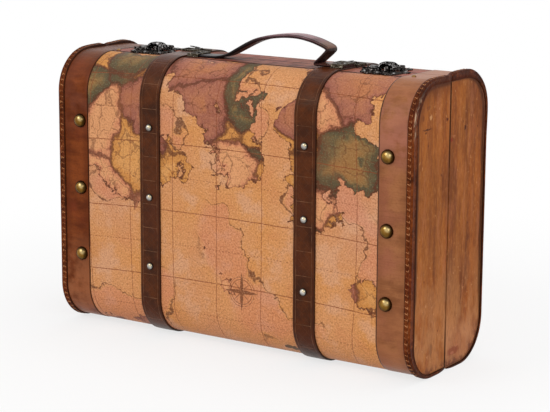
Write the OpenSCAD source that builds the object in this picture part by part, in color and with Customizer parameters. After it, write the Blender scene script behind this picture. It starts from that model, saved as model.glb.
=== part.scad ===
// Upright wooden suitcase in two equal halves, hinged along the bottom seam.
// Origin at the bottom centre on the floor, X along the case, front half at -Y, Z up.

/* [Case] */
// Length over the end bindings
case_w = 441; // [381:5:601]
// Height over the bindings, without the handle
case_h = 300; // [270:5:420]
// Depth over the bindings, without the studs
case_d = 149; // [131:2:201]
// Depth of the flat top between the rounded edges
top_flat = 60; // [58:1:90]
// Gap between the two halves at the seam
seam_gap = 1; // [0.6:0.1:1.4]

/* [Shell] */
// Thickness of the bent plywood
wood_t = 5; // [4:0.5:8]
// Thickness of the wooden end boards
end_t = 8; // [6:0.5:12]
// Thickness of the printed cover, the end strips and the top strips
skin_t = 1; // [0.8:0.1:1.5]
// Thickness of the cloth lining
lining_t = 0.8; // [0.5:0.1:1.5]
// Width of each leather end strip, binding included
end_strip_w = 39.5; // [34:0.5:50]

/* [Bindings] */
// Height of the stitched binding above the skin
binding_t = 2; // [2:0.1:3]
// Width of the binding on the long faces
binding_face_w = 7.7; // [6:0.1:10]
// Width of the binding on the end boards
binding_end_w = 8.2; // [8.1:0.1:12]
// Thickness of the binding on the end boards
binding_end_t = 2; // [1.5:0.1:3]
// Radius of the binding's outer edge
binding_round = 1.8; // [1:0.1:2]
// Distance from the seam at which a binding ends under the case
binding_stop = 5; // [4.5:0.5:8]
// Distance from the seam at which a binding ends on top
binding_top_stop = 1.5; // [1:0.1:3]

/* [Straps] */
// Distance of each strap's centre from the end of the case
strap_inset = 123.6; // [115:0.2:130]
// Width of a strap
strap_w = 26; // [22:1:28]
// Thickness of a strap
strap_t = 1.8; // [1.2:0.1:1.9]
// Distance from the seam at which a strap ends under the case
strap_stop = 6; // [5:0.5:10]
// Distance from the seam at which a strap ends on top
strap_top_stop = 0.8; // [0.8:0.1:2]

/* [Studs and rivets] */
// Distance of the brass studs from the end of the case
stud_inset = 29; // [26:0.5:32]
// Diameter of a brass stud
stud_d = 15; // [12:0.5:16]
// Height of a brass stud
stud_h = 6; // [4:0.5:7]
// Distance of the outer studs from the rounded edges
stud_margin = 32.6; // [20:0.2:45]
// Diameter of a strap rivet's head
rivet_d = 8; // [6:0.5:10]
// Height of a strap rivet's head
rivet_h = 3.2; // [2:0.2:4]
// Distance of the outer rivets from the rounded edges
rivet_margin = 31.4; // [20:0.2:45]
// Height of the middle stud and rivet above half the case height
row_rise = 3; // [-5:0.5:6]
// Diameter of the studs' and rivets' nails
nail_d = 2; // [1.5:0.1:2.5]
// Depth of every nail, pin and screw in the plywood
nail_depth = 3.6; // [2.5:0.1:3.8]

/* [Handle] */
// Distance from the left bracket to the left end of the grip
tab_reach = 45; // [40:1:50]
// Distance from the right bracket to the fold of the grip
fold_reach = 17; // [16:0.5:22]
// Distance of a bracket from the nearest edge of its strap
bracket_margin = 0.4; // [0.4:0.1:1]
// Distance of the handle's middle line from the seam
handle_y = 14; // [14:0.5:18]
// Width of the handle's leather
handle_w = 20; // [16:0.5:20]
// Thickness of the handle's leather
handle_t = 3.6; // [3:0.1:4.5]
// Rise of the handle's middle line above its pivot line at the peak
handle_rise = 22; // [17:0.5:26]
// Thickness of the flat leather ends
tab_t = 2.6; // [2:0.1:3]
// Height of the narrow necks above the pivot line
neck_h = 7; // [6.5:0.5:8]
// Width of the narrow necks
neck_w = 5; // [4:0.5:6]
// Radius of the rolled ends at the pivot line
neck_r = 2; // [1.6:0.1:2.2]
// Length of a bracket along the case
bracket_l = 14; // [12:0.5:14]
// Width of a bracket across the case
bracket_w = 26; // [24:0.5:26]
// Thickness of the bracket's metal
bracket_t = 1.2; // [1:0.1:1.5]

/* [Latches] */
// Distance of the left latch from the left end of the case
latch_left_inset = 82; // [75:0.5:84]
// Distance of the right latch from the right end of the case
latch_right_inset = 70; // [68:0.5:80]
// Length of a latch plate along the case
lock_plate_w = 42; // [38:1:46]
// Width of a latch plate across the case
lock_plate_l = 26; // [24:1:27]
// Length of a hasp's plate along the case
hasp_plate_w = 28; // [26:1:32]
// Width of a hasp's plate across the case
hasp_plate_l = 14; // [13:0.5:16]
// Thickness of the latch plates
plate_t = 1.2; // [1:0.1:1.6]
// Width of the domed hasp
hasp_w = 17; // [15:0.5:18]
// Height of the domed hasp above the skin
hasp_h = 10; // [9:0.5:12]
// Length of the dome from front to back
hasp_l = 14; // [12:0.5:15]
// Thickness of the hasp's metal
hasp_t = 1.8; // [1.4:0.1:2]
// Distance of the hasp's pivot behind the seam
hasp_pivot_y = 11; // [10:0.5:13]
// Radius of the hasp's knuckles
hasp_knuckle_r = 1.9; // [1.6:0.1:2.2]
// Radius of the hasp's pin
hasp_pin_r = 0.8; // [0.6:0.1:1]
// Travel of the release slide
slide_travel = 4; // [3:0.5:5]

/* [Buckles] */
// Length of a buckle's frame along the case
buckle_l = 31; // [30:0.5:33]
// Width of a buckle's frame across the case
buckle_w = 15; // [13:0.5:17]
// Width of the frame's bars
buckle_bar = 2; // [1.6:0.1:2.4]
// Thickness of the frame
buckle_t = 2; // [1.6:0.1:2.4]
// Length of a prong from its pivot to its tip
prong_l = 15; // [14:0.5:16]
// Upward tilt of the left prong in degrees
prong_left_tilt = 12; // [5:1:20]

/* [Hinges] */
// Distance of each hinge from the end of the case
hinge_inset = 75; // [65:1:84]
// Length of a hinge
hinge_l = 40; // [30:1:50]
// Width of one hinge leaf from the seam
leaf_w = 16; // [14:0.5:20]
// Thickness of a hinge leaf
leaf_t = 1; // [0.8:0.1:1.2]
// Radius of the hinge knuckles
knuckle_r = 2; // [1.8:0.05:2]
// Radius of the hinge pins
hinge_pin_r = 1; // [0.8:0.05:1.1]
// Radial clearance of every pin in its bore
pin_clearance = 0.05; // [0.03:0.01:0.1]
// Clearance between pieces that move past each other
move_gap = 0.35; // [0.3:0.05:0.4]

/* [Hidden] */
$fn = 64;
eps = 0.01;
front = -1;
back = 1;
left = -1;
right = 1;

// Outer faces of the plywood, and the place where the rounded edges begin
corner_r = case_d / 2 - top_flat / 2;
wood_r = corner_r - binding_t - skin_t;
half_d = case_d / 2 - binding_t - skin_t;
z_bottom = binding_t + skin_t;
z_top = case_h - z_bottom;
flat_y = half_d - wood_r;
seam_y = seam_gap / 2;
skin_top = z_top + skin_t;
skin_bottom = z_bottom - skin_t;
shell_x = case_w / 2 - binding_end_t;
inner_x = shell_x - end_t;
cover_x = case_w / 2 - end_strip_w;
row_z = case_h / 2 + row_rise;
face_reach = case_h / 2 - corner_r;

// Places along the case, each measured from its nearer end
strap_x = case_w / 2 - strap_inset;
stud_x = case_w / 2 - stud_inset;
hinge_x = case_w / 2 - hinge_inset;
latch_left_x = case_w / 2 - latch_left_inset;
latch_right_x = case_w / 2 - latch_right_inset;

// Pivot line of the case, at the bottom seam
hinge_z = knuckle_r + 0.1;
hinge_knuckles = 5;
knuckle_l = hinge_l / hinge_knuckles;

// Handle: the right end lies on a strap, the left end on the top strip
tab_left_z = skin_top;
tab_right_z = skin_top + strap_t;
bracket_left_x = bracket_margin - strap_x + strap_w / 2 + bracket_l / 2;
bracket_right_x = strap_x + strap_w / 2 - bracket_margin - bracket_l / 2;
pivot_z = tab_right_z + tab_t + move_gap + neck_r;
grip_left_x = bracket_left_x + tab_reach;
grip_fold_x = bracket_right_x - fold_reach;
tab_left_gap = 9;
tab_right_spare = 13;
fold_r = 2.4;
fold_rise = 0.6 * handle_rise;
arch_end_heading = -19.6;
leg_heading = -136;
pull_start = 0.308;
pull_end = 0.274;
bracket_play = 0.3;

// Latches
hasp_pivot_z = skin_top + plate_t + hasp_knuckle_r + move_gap;
hasp_floor = skin_top + plate_t + 0.8;
hasp_side_r = 5.6;
hasp_front_y = -13;
hasp_back_y = hasp_front_y + hasp_l;
hasp_knuckle_l = 9;
slide_l = 8;
slide_w = 7;
slide_h = 4.2;
slide_y = -8;
slide_tongue = 2.5;
slide_x = hasp_w / 2 + move_gap + slide_tongue + slide_l;
rail_t = 1.2;
rail_h = 2.6;
rail_y = slide_w / 2 + move_gap;
rail_end = slide_x + slide_travel + 2.6;
rail_start = hasp_w / 2 + 1.5;
lock_plate_y = 2;
plate_round = 4;
lobe_r = lock_plate_w / 9;
lobe_y = lock_plate_l - 1;
side_lobe_y = 5;
post_w = 4;
post_l = 5;
post_h = 4.4;
lock_spots = [
    [-lock_plate_w / 2 + plate_round, -lock_plate_y - lock_plate_l + plate_round],
    [lock_plate_w / 2 - plate_round, -lock_plate_y - lock_plate_l + plate_round],
    [0, -lock_plate_y - lobe_y], [lock_plate_w / 2, -lock_plate_y - side_lobe_y]];
hasp_plate_y = 4;
hasp_lobe_x = hasp_plate_w / 2 - 3.5;
hasp_lobe_y = hasp_plate_y + hasp_plate_l - 1;
hasp_lobe_r = 4;
hasp_tip_r = 5;
hasp_tip_y = hasp_lobe_y + 2;
hasp_lug_l = 4;
hasp_spots = [[-hasp_lobe_x, hasp_lobe_y], [hasp_lobe_x, hasp_lobe_y], [0, hasp_tip_y + 1.5]];

// Pins of the top hardware
top_pin_d = 1.4;
top_pin_head_d = 3.6;
top_pin_head_h = 1.2;
bracket_pin_y = 3.5;
bracket_pin_spots = [[0, -handle_y - bracket_pin_y], [0, -handle_y + bracket_pin_y]];

// Buckles
buckle_y = 1;
strap_top = skin_top + strap_t;
bar_inset = 2.2;
bar_y = buckle_y + buckle_w - bar_inset;
bar_r = 0.6;
prong_r = 1.3;
prong_gap = 0.3;
bar_z = strap_top + prong_gap + prong_r;
prong_low = strap_top + buckle_t + prong_gap - bar_z;
prong_w = 2.2;
prong_t = 1.2;
lug_t = 1.6;
lug_gap = 3;

stud_spots = [for (x = [-stud_x, stud_x], k = [-1:1]) [x, row_z + k * (face_reach - stud_margin)]];
rivet_spots = [for (x = [-strap_x, strap_x], k = [-1:1]) [x, row_z + k * (face_reach - rivet_margin)]];
screw_spots = [for (x = [-hinge_x, hinge_x], k = [-1:1]) [x + k * hinge_l / 3, leaf_w * 0.65]];
screw_head_d = 4.4;
screw_head_h = 0.7;

// Every piece of a half is drawn for the back half; the front half is its mirror image
module on_half(half) {
    if (half == front) mirror([0, 1, 0]) children();
    else children();
}

// Stretches of the way round a half. The section is drawn in 2D: x is outward from the
// plywood's outer face, y is along the case
module bottom_run(from_y) {
    translate([0, flat_y, z_bottom]) rotate([90, 90, 0]) linear_extrude(flat_y - from_y) children();
}
module bottom_bend() {
    translate([0, flat_y, z_bottom + wood_r]) rotate([0, 90, 0])
        rotate_extrude(angle = 90) translate([wood_r, 0]) children();
}
module face_run() {
    translate([0, half_d, z_top - wood_r]) rotate([90, 0, 0]) rotate([90, 90, 0])
        linear_extrude(z_top - z_bottom - 2 * wood_r) children();
}
module top_bend() {
    translate([0, flat_y, z_top - wood_r]) rotate([90, 0, 0]) rotate([0, 90, 0])
        rotate_extrude(angle = 90) translate([wood_r, 0]) children();
}
module top_run(from_y) {
    translate([0, from_y, z_top]) rotate([180, 0, 0]) rotate([90, 90, 0])
        linear_extrude(flat_y - from_y) children();
}
module around(bottom_from, top_from) {
    bottom_run(bottom_from) children();
    bottom_bend() children();
    face_run() children();
    top_bend() children();
    top_run(top_from) children();
}
module band(x0, x1, n0, n1) {
    translate([n0, x0]) square([n1 - n0, x1 - x0]);
}

// D-shaped outline of a half, set in from the plywood's outer face; x is depth, y is height
module half_outline(inset) {
    r = wood_r - inset;
    depth = half_d - inset - seam_y;
    height = z_top - z_bottom - 2 * inset;
    translate([seam_y, z_bottom + inset]) {
        square([depth - r, height]);
        translate([0, r]) square([depth, height - 2 * r]);
        for (z = [r, height - r]) intersection() {
            translate([depth - r, z]) circle(r);
            translate([depth - r, 0]) square([r, height]);
        }
    }
}

// A domed head on z = 0 and the nail under it
module dome(d, h) {
    ball_r = (d * d / 4 + h * h) / (2 * h);
    rotate_extrude() intersection() {
        translate([0, h - ball_r]) circle(ball_r, $fn = 96);
        square([d / 2, h]);
    }
}
module shank(d, l) {
    translate([0, 0, -l]) cylinder(d = d, h = l);
}
module on_face(spots, n) {
    for (s = spots) translate([s[0], half_d + n, s[1]]) rotate([-90, 0, 0]) children();
}
module on_top(x, spots, z) {
    for (s = spots) translate([x + s[0], s[1], z]) children();
}
module stud_nails() {
    on_face(stud_spots, skin_t) shank(nail_d, skin_t + nail_depth);
}
module rivet_nails() {
    on_face(rivet_spots, skin_t + strap_t) shank(nail_d, strap_t + skin_t + nail_depth);
}
module hinge_screw_shanks() {
    for (s = screw_spots) translate([s[0], s[1], skin_bottom - leaf_t])
        cylinder(d = nail_d, h = leaf_t + skin_t + nail_depth);
}

// Room for the hinge knuckles in the edge of a half
module hinge_notch() {
    for (x = [-hinge_x, hinge_x])
        translate([x - hinge_l / 2 - 0.5, 0, hinge_z]) rotate([0, 90, 0])
            cylinder(r = knuckle_r + move_gap, h = hinge_l + 1);
}

// Pins of the top hardware: drawn once as pins, and again to cut their bores
module top_pin(z_head) {
    translate([0, 0, z_head]) {
        dome(top_pin_head_d, top_pin_head_h);
        shank(top_pin_d, z_head - z_top + nail_depth);
    }
}
module lock_pins() {
    for (x = [-latch_left_x, latch_right_x]) on_top(x, lock_spots, 0) top_pin(skin_top + plate_t);
}
module hasp_plate_pins() {
    color("dimgray")
        for (x = [-latch_left_x, latch_right_x]) on_top(x, hasp_spots, 0) top_pin(skin_top + plate_t);
}
module bracket_pins() {
    on_top(bracket_left_x, bracket_pin_spots, 0) top_pin(tab_left_z + tab_t);
    on_top(bracket_right_x, bracket_pin_spots, 0) top_pin(tab_right_z + tab_t);
}

// Plywood, boards and lining
module shell(half) {
    color("burlywood") difference() {
        on_half(half) difference() {
            around(seam_y, seam_y) band(-shell_x, shell_x, -wood_t, 0);
            stud_nails();
            rivet_nails();
            hinge_screw_shanks();
            hinge_notch();
        }
        if (half == front) {
            lock_pins();
            bracket_pins();
        } else {
            hasp_plate_pins();
        }
    }
}
module end_board(half, side) {
    color("peru") on_half(half)
        translate([side == left ? -shell_x : inner_x, 0, 0])
            rotate([90, 0, 90]) linear_extrude(end_t) half_outline(wood_t);
}
module lining(half) {
    color("tan") on_half(half) {
        around(seam_y, seam_y) band(-inner_x, inner_x, -wood_t - lining_t, -wood_t);
        for (x = [-inner_x, inner_x - lining_t])
            translate([x, 0, 0]) rotate([90, 0, 90]) linear_extrude(lining_t) half_outline(wood_t);
    }
}

// Skins: printed cover, leather end strips and the dark strip along the top seam
module cover(half) {
    color("sandybrown") on_half(half) difference() {
        union() {
            bottom_run(seam_y) cover_band();
            bottom_bend() cover_band();
            face_run() cover_band();
            top_bend() cover_band();
        }
        rivet_nails();
        hinge_screw_shanks();
        hinge_notch();
    }
}
module cover_band() {
    band(-cover_x, cover_x, 0, skin_t);
}
module end_wrap(half, side) {
    x0 = side == left ? -shell_x : cover_x;
    color("sienna") on_half(half) difference() {
        around(seam_y, seam_y) band(x0, x0 + shell_x - cover_x, 0, skin_t);
        stud_nails();
    }
}
module top_strip(half) {
    color("saddlebrown") difference() {
        on_half(half) top_run(seam_y) band(-cover_x, cover_x, 0, skin_t);
        if (half == front) {
            lock_pins();
            bracket_pins();
        } else {
            hasp_plate_pins();
        }
    }
}

// Stitched binding over the corner between the long faces and an end board
module binding_section(side) {
    outer = skin_t + binding_t;
    mirror([0, side == left ? 1 : 0]) difference() {
        union() {
            translate([skin_t, case_w / 2 - binding_face_w]) square([binding_t, binding_face_w]);
            translate([outer - binding_end_w, shell_x]) square([binding_end_w, binding_end_t]);
        }
        translate([outer - binding_round, case_w / 2 - binding_round]) difference() {
            square(binding_round + 1);
            circle(binding_round);
        }
    }
}
module binding(half, side) {
    color("maroon") on_half(half) around(binding_stop, binding_top_stop) binding_section(side);
}

// Leather straps with their rivets, and the brass studs of the end strips
module strap(half, side) {
    x0 = side * strap_x - strap_w / 2;
    color("saddlebrown") difference() {
        on_half(half) difference() {
            around(strap_stop, strap_top_stop) band(x0, x0 + strap_w, skin_t, skin_t + strap_t);
            rivet_nails();
        }
        if (half == front) bracket_pins();
    }
}
module studs(half) {
    color("darkgoldenrod") on_half(half) {
        on_face(stud_spots, skin_t) dome(stud_d, stud_h);
        stud_nails();
    }
}
module strap_rivets(half) {
    color("silver") on_half(half) {
        on_face(rivet_spots, skin_t + strap_t) dome(rivet_d, rivet_h);
        rivet_nails();
    }
}

// Hinges under the case: odd knuckles belong to the front leaf, even ones to the back leaf
function knuckle_x(x, k) = x - hinge_l / 2 + k * knuckle_l;
module knuckles(x, half, r, grow) {
    for (k = [0:hinge_knuckles - 1])
        if ((k % 2 == 0) == (half == front))
            translate([knuckle_x(x, k) + move_gap / 2 - grow, 0, hinge_z]) rotate([0, 90, 0])
                cylinder(r = r, h = knuckle_l - move_gap + 2 * grow);
}
module hinge_leaf(half, side) {
    x = side * hinge_x;
    color("darkkhaki") difference() {
        union() {
            on_half(half) translate([x - hinge_l / 2, 0, skin_bottom - leaf_t])
                cube([hinge_l, leaf_w, leaf_t]);
            knuckles(x, half, knuckle_r, 0);
        }
        knuckles(x, -half, knuckle_r + move_gap, move_gap);
        translate([x - hinge_l, 0, hinge_z]) rotate([0, 90, 0])
            cylinder(r = hinge_pin_r + pin_clearance, h = 2 * hinge_l);
        on_half(half) hinge_screw_shanks();
    }
}
module hinge_pins() {
    color("gray") for (x = [-hinge_x, hinge_x])
        translate([x - hinge_l / 2, 0, hinge_z]) rotate([0, 90, 0]) cylinder(r = hinge_pin_r, h = hinge_l);
}
module hinge_screws(half) {
    color("gray") on_half(half) {
        hinge_screw_shanks();
        for (s = screw_spots) translate([s[0], s[1], skin_bottom - leaf_t - screw_head_h])
            cylinder(d = screw_head_d, h = screw_head_h);
    }
}

// Latch plate on the front half: scalloped plate, catch post and the rails of the slide
module plate_outline(w, d, r) {
    translate([-w / 2 + r, -d]) square([w - 2 * r, d - r]);
    translate([-w / 2, -d + r]) square([w, d - 2 * r]);
    for (x = [-w / 2 + r, w / 2 - r], y = [-d + r, -r]) translate([x, y]) circle(r);
    for (x = [-w / 4, 0, w / 4]) translate([x, -lobe_y]) circle(lobe_r);
    translate([w / 2, -side_lobe_y]) circle(lobe_r);
}
module lock_plate(x) {
    color("darkslategray") difference() {
        translate([x, 0, skin_top]) {
            translate([0, -lock_plate_y]) linear_extrude(plate_t)
                plate_outline(lock_plate_w, lock_plate_l, plate_round);
            linear_extrude(plate_t) translate([-rail_end, slide_y - rail_y - 2 * rail_t])
                square([rail_end - rail_start, 2 * rail_y + 4 * rail_t]);
            translate([-post_w / 2, hasp_front_y + 3, plate_t - eps]) cube([post_w, post_l, post_h]);
            for (y = [slide_y - rail_y - rail_t, slide_y + rail_y])
                translate([-rail_end, y, plate_t - eps]) cube([rail_end - rail_start, rail_t, rail_h]);
        }
        lock_pins();
    }
}
module slide(x) {
    color("dimgray") translate([x - slide_x, slide_y - slide_w / 2, skin_top + plate_t + 0.1]) {
        cube([slide_l, slide_w, slide_h * 0.55]);
        translate([1, 1, 0]) cube([slide_l - 2, slide_w - 2, slide_h]);
        translate([slide_l - eps, slide_w / 2 - 1, 0.4]) cube([slide_tongue, 2, 1.6]);
    }
}

// Hasp: arched dome over the catch post, arm and middle knuckle
module half_disc(r) {
    intersection() {
        circle(r);
        translate([-r, 0]) square([2 * r, r]);
    }
}
module arch_outline(w, h, floor_h) {
    r = w * 0.36;
    translate([-w / 2, floor_h]) square([w, h - floor_h - r]);
    translate([-w / 2 + r, floor_h]) square([w - 2 * r, h - floor_h]);
    for (x = [-w / 2 + r, w / 2 - r]) translate([x, h - r]) half_disc(r);
}
module hasp(x) {
    floor_h = hasp_floor - skin_top;
    color("darkslategray") translate([x, 0, 0]) difference() {
        union() {
            intersection() {
                translate([0, hasp_back_y, skin_top]) rotate([90, 0, 0])
                    linear_extrude(hasp_l) arch_outline(hasp_w, hasp_h, floor_h);
                translate([-hasp_w / 2, 0, skin_top]) rotate([90, 0, 90])
                    linear_extrude(hasp_w) hasp_side(floor_h);
            }
            translate([-hasp_knuckle_l / 2, hasp_back_y - eps, hasp_floor])
                cube([hasp_knuckle_l, hasp_pivot_y - hasp_back_y, hasp_t]);
            translate([-hasp_knuckle_l / 2, hasp_pivot_y, hasp_pivot_z]) rotate([0, 90, 0])
                cylinder(r = hasp_knuckle_r, h = hasp_knuckle_l);
        }
        translate([0, hasp_back_y - hasp_t, skin_top]) rotate([90, 0, 0])
            linear_extrude(hasp_l + 1) arch_outline(hasp_w - 2 * hasp_t, hasp_h - hasp_t, floor_h - 1);
        translate([-hasp_w, hasp_pivot_y, hasp_pivot_z]) rotate([0, 90, 0])
            cylinder(r = hasp_pin_r + pin_clearance, h = 2 * hasp_w);
    }
}
module hasp_side(floor_h) {
    r = hasp_side_r;
    translate([hasp_front_y, floor_h]) square([hasp_l, hasp_h - floor_h - r]);
    translate([hasp_front_y + r, floor_h]) square([hasp_l - 2 * r, hasp_h - floor_h]);
    for (y = [hasp_front_y + r, hasp_back_y - r]) translate([y, hasp_h - r]) half_disc(r);
}
module hasp_plate(x) {
    lug_mid = hasp_knuckle_l / 2 + move_gap + hasp_lug_l / 2;
    color("darkslategray") difference() {
        union() {
            translate([x, 0, skin_top]) linear_extrude(plate_t) {
                translate([-hasp_plate_w / 2, hasp_plate_y]) square([hasp_plate_w, hasp_plate_l]);
                for (px = [-hasp_lobe_x, hasp_lobe_x]) translate([px, hasp_lobe_y]) circle(hasp_lobe_r);
                translate([0, hasp_tip_y]) circle(hasp_tip_r);
            }
            for (side = [left, right])
                translate([x + side * lug_mid - hasp_lug_l / 2, hasp_pivot_y, 0]) {
                    translate([0, 0, hasp_pivot_z]) rotate([0, 90, 0])
                        cylinder(r = hasp_knuckle_r, h = hasp_lug_l);
                    translate([0, -hasp_knuckle_r, skin_top + plate_t - eps])
                        cube([hasp_lug_l, 2 * hasp_knuckle_r, hasp_pivot_z - skin_top - plate_t]);
                }
        }
        hasp_plate_pins();
        translate([x - hasp_w, hasp_pivot_y, hasp_pivot_z]) rotate([0, 90, 0])
            cylinder(r = hasp_pin_r, h = 2 * hasp_w);
    }
}
module hasp_pins() {
    l = hasp_knuckle_l + 2 * move_gap + 2 * hasp_lug_l;
    color("gray") for (x = [-latch_left_x, latch_right_x])
        translate([x - l / 2, hasp_pivot_y, hasp_pivot_z]) rotate([0, 90, 0])
            cylinder(r = hasp_pin_r, h = l);
}

// Handle ends, lying flat under their brackets
module handle_tab(side) {
    x0 = side == left ? bracket_left_x - bracket_l / 2 : grip_fold_x - tab_right_spare;
    x1 = side == left ? grip_left_x - tab_left_gap : bracket_right_x + bracket_l / 2;
    z = side == left ? tab_left_z : tab_right_z;
    color("saddlebrown") difference() {
        translate([x0, -handle_y - handle_w / 2, z]) cube([x1 - x0, handle_w, tab_t]);
        bracket_pins();
    }
}
module handle_bracket(side) {
    x = side == left ? bracket_left_x : bracket_right_x;
    z = side == left ? tab_left_z : tab_right_z;
    inner_w = handle_w + 2 * bracket_play;
    inner_h = tab_t + 0.1;
    color("darkslategray") difference() {
        translate([x - bracket_l / 2, -handle_y, z]) {
            translate([0, -bracket_w / 2, 0]) cube([bracket_l, bracket_w, bracket_t]);
            translate([0, -inner_w / 2 - bracket_t, 0])
                cube([bracket_l, inner_w + 2 * bracket_t, inner_h + bracket_t]);
        }
        translate([x - bracket_l, -handle_y - inner_w / 2, z - 1])
            cube([2 * bracket_l, inner_w, inner_h + 1]);
        translate([x - bracket_l / 2 + 3, -handle_y - inner_w / 2 + 4, z])
            cube([bracket_l - 6, inner_w - 8, 2 * inner_h]);
    }
}

// Handle grip: an arch that folds back under itself at its right end
function bezier(a, b, c, d, t) =
    a * pow(1 - t, 3) + b * 3 * t * pow(1 - t, 2) + c * 3 * t * t * (1 - t) + d * pow(t, 3);
function heading(a) = [cos(a), sin(a)];
arch_steps = 24;
fold_steps = 8;
fold_mid = [grip_fold_x, fold_rise];
arch_start = [grip_left_x, 0];
arch_end = fold_mid + fold_r * [-sin(arch_end_heading), cos(arch_end_heading)];
arch_span = arch_end[0] - grip_left_x;
arch_pull_a = [grip_left_x + pull_start * arch_span, handle_rise * 4 / 3 - 3.5];
arch_pull_b = [arch_end[0] - pull_end * arch_span, handle_rise * 4 / 3 - 1];
leg_start = fold_mid + fold_r * [-sin(leg_heading), cos(leg_heading)];
leg_end = leg_start + heading(leg_heading) * (leg_start[1] / -sin(leg_heading));
grip_path = concat(
    [for (k = [0:arch_steps]) bezier(arch_start, arch_pull_a, arch_pull_b, arch_end, k / arch_steps)],
    [for (k = [1:fold_steps]) let (a = arch_end_heading + (leg_heading - arch_end_heading) * k / fold_steps)
        fold_mid + fold_r * [-sin(a), cos(a)]],
    [leg_end]);
function side_point(k, offset) =
    let (last = len(grip_path) - 1,
         d = grip_path[min(k + 1, last)] - grip_path[max(k - 1, 0)])
    grip_path[k] + offset * [-d[1], d[0]] / norm(d);
module grip_outline() {
    n = len(grip_path) - 1;
    polygon(concat(
        [for (k = [0:n]) side_point(k, handle_t / 2)],
        [for (k = [n:-1:0]) side_point(k, -handle_t / 2)]));
}
module handle_grip() {
    reach = bracket_right_x - bracket_left_x;
    color("saddlebrown") translate([0, -handle_y, pivot_z]) {
        intersection() {
            translate([0, handle_w / 2, 0]) rotate([90, 0, 0]) linear_extrude(handle_w) grip_outline();
            translate([bracket_left_x, 0, 0]) {
                translate([0, -handle_w / 2 - 1, neck_h]) cube([reach, handle_w + 2, reach]);
                translate([0, -neck_w / 2, 0]) cube([reach, neck_w, neck_h + 1]);
            }
        }
        for (p = [arch_start, leg_end])
            translate([p[0] - handle_t / 2, 0, p[1]]) rotate([0, 90, 0]) cylinder(r = neck_r, h = handle_t);
    }
}

// Buckles on the back half's strap ends: the prong's barrel turns in a gap of the frame
module buckle_frame(side) {
    x = side * strap_x;
    hole_l = buckle_l / 2 - buckle_bar - lug_gap - lug_t;
    color("darkslategray") difference() {
        union() {
            translate([x - buckle_l / 2, buckle_y, strap_top]) cube([buckle_l, buckle_w, buckle_t]);
            for (lug = [left, right])
                translate([x + lug * (lug_gap + lug_t / 2) - lug_t / 2, bar_y, bar_z])
                    rotate([0, 90, 0]) cylinder(r = prong_r, h = lug_t);
        }
        for (hole_x = [x - buckle_l / 2 + buckle_bar, x + lug_gap + lug_t])
            translate([hole_x, buckle_y + buckle_bar, strap_top - 1])
                cube([hole_l, buckle_w - 2 * buckle_bar, buckle_t + 2]);
        translate([x - lug_gap, bar_y - prong_r - move_gap, strap_top - 1])
            cube([2 * lug_gap, buckle_w, buckle_t + 2]);
        translate([x, bar_y, bar_z]) buckle_bar_rod(bar_r);
    }
}
module buckle_bar_rod(r) {
    reach = lug_gap + lug_t;
    translate([-reach, 0, 0]) rotate([0, 90, 0]) cylinder(r = r, h = 2 * reach);
}
module buckle_bars() {
    color("gray") for (x = [-strap_x, strap_x]) translate([x, bar_y, bar_z]) buckle_bar_rod(bar_r);
}
module prong(side) {
    tilt = side == left ? prong_left_tilt : 0;
    color("gray") translate([side * strap_x, bar_y, bar_z]) rotate([-tilt, 0, 0]) difference() {
        union() {
            rotate([0, 90, 0]) translate([0, 0, -lug_gap + move_gap])
                cylinder(r = prong_r, h = 2 * (lug_gap - move_gap));
            translate([-prong_w / 2, -prong_l, prong_low]) cube([prong_w, prong_l + bar_r, prong_t]);
        }
        buckle_bar_rod(bar_r + pin_clearance);
    }
}

shell(front);  // front_shell
end_board(front, left);  // front_end_board_left
end_board(front, right);  // front_end_board_right
lining(front);  // front_lining
cover(front);  // front_cover
end_wrap(front, left);  // front_end_wrap_left
end_wrap(front, right);  // front_end_wrap_right
binding(front, left);  // front_binding_left
binding(front, right);  // front_binding_right
top_strip(front);  // front_top_strip
strap(front, left);  // front_strap_left
strap(front, right);  // front_strap_right
studs(front);  // front_studs
strap_rivets(front);  // front_strap_rivets
hinge_leaf(front, left);  // front_hinge_leaf_left
hinge_leaf(front, right);  // front_hinge_leaf_right
hinge_screws(front);  // front_hinge_screws
hinge_pins();
lock_plate(-latch_left_x);  // lock_plate_left
lock_plate(latch_right_x);  // lock_plate_right
color("dimgray") lock_pins();  // lock_plate_pins
handle_tab(left);  // handle_tab_left
handle_tab(right);  // handle_tab_right
handle_bracket(left);  // handle_bracket_left
handle_bracket(right);  // handle_bracket_right
color("dimgray") bracket_pins();  // handle_bracket_pins
handle_grip();
shell(back);  // back_shell
end_board(back, left);  // back_end_board_left
end_board(back, right);  // back_end_board_right
lining(back);  // back_lining
cover(back);  // back_cover
end_wrap(back, left);  // back_end_wrap_left
end_wrap(back, right);  // back_end_wrap_right
binding(back, left);  // back_binding_left
binding(back, right);  // back_binding_right
top_strip(back);  // back_top_strip
strap(back, left);  // back_strap_left
strap(back, right);  // back_strap_right
studs(back);  // back_studs
strap_rivets(back);  // back_strap_rivets
hinge_leaf(back, left);  // back_hinge_leaf_left
hinge_leaf(back, right);  // back_hinge_leaf_right
hinge_screws(back);  // back_hinge_screws
hasp_plate(-latch_left_x);  // hasp_plate_left
hasp_plate(latch_right_x);  // hasp_plate_right
hasp_plate_pins();
hasp_pins();
hasp(-latch_left_x);  // hasp_left
hasp(latch_right_x);  // hasp_right
slide(-latch_left_x);  // slide_left
slide(latch_right_x);  // slide_right
buckle_frame(left);  // buckle_frame_left
buckle_frame(right);  // buckle_frame_right
buckle_bars();
prong(left);  // prong_left
prong(right);  // prong_right
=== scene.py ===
import math
from functools import reduce
from itertools import accumulate

import bmesh
import bpy
from mathutils import Matrix, Vector, noise


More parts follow.
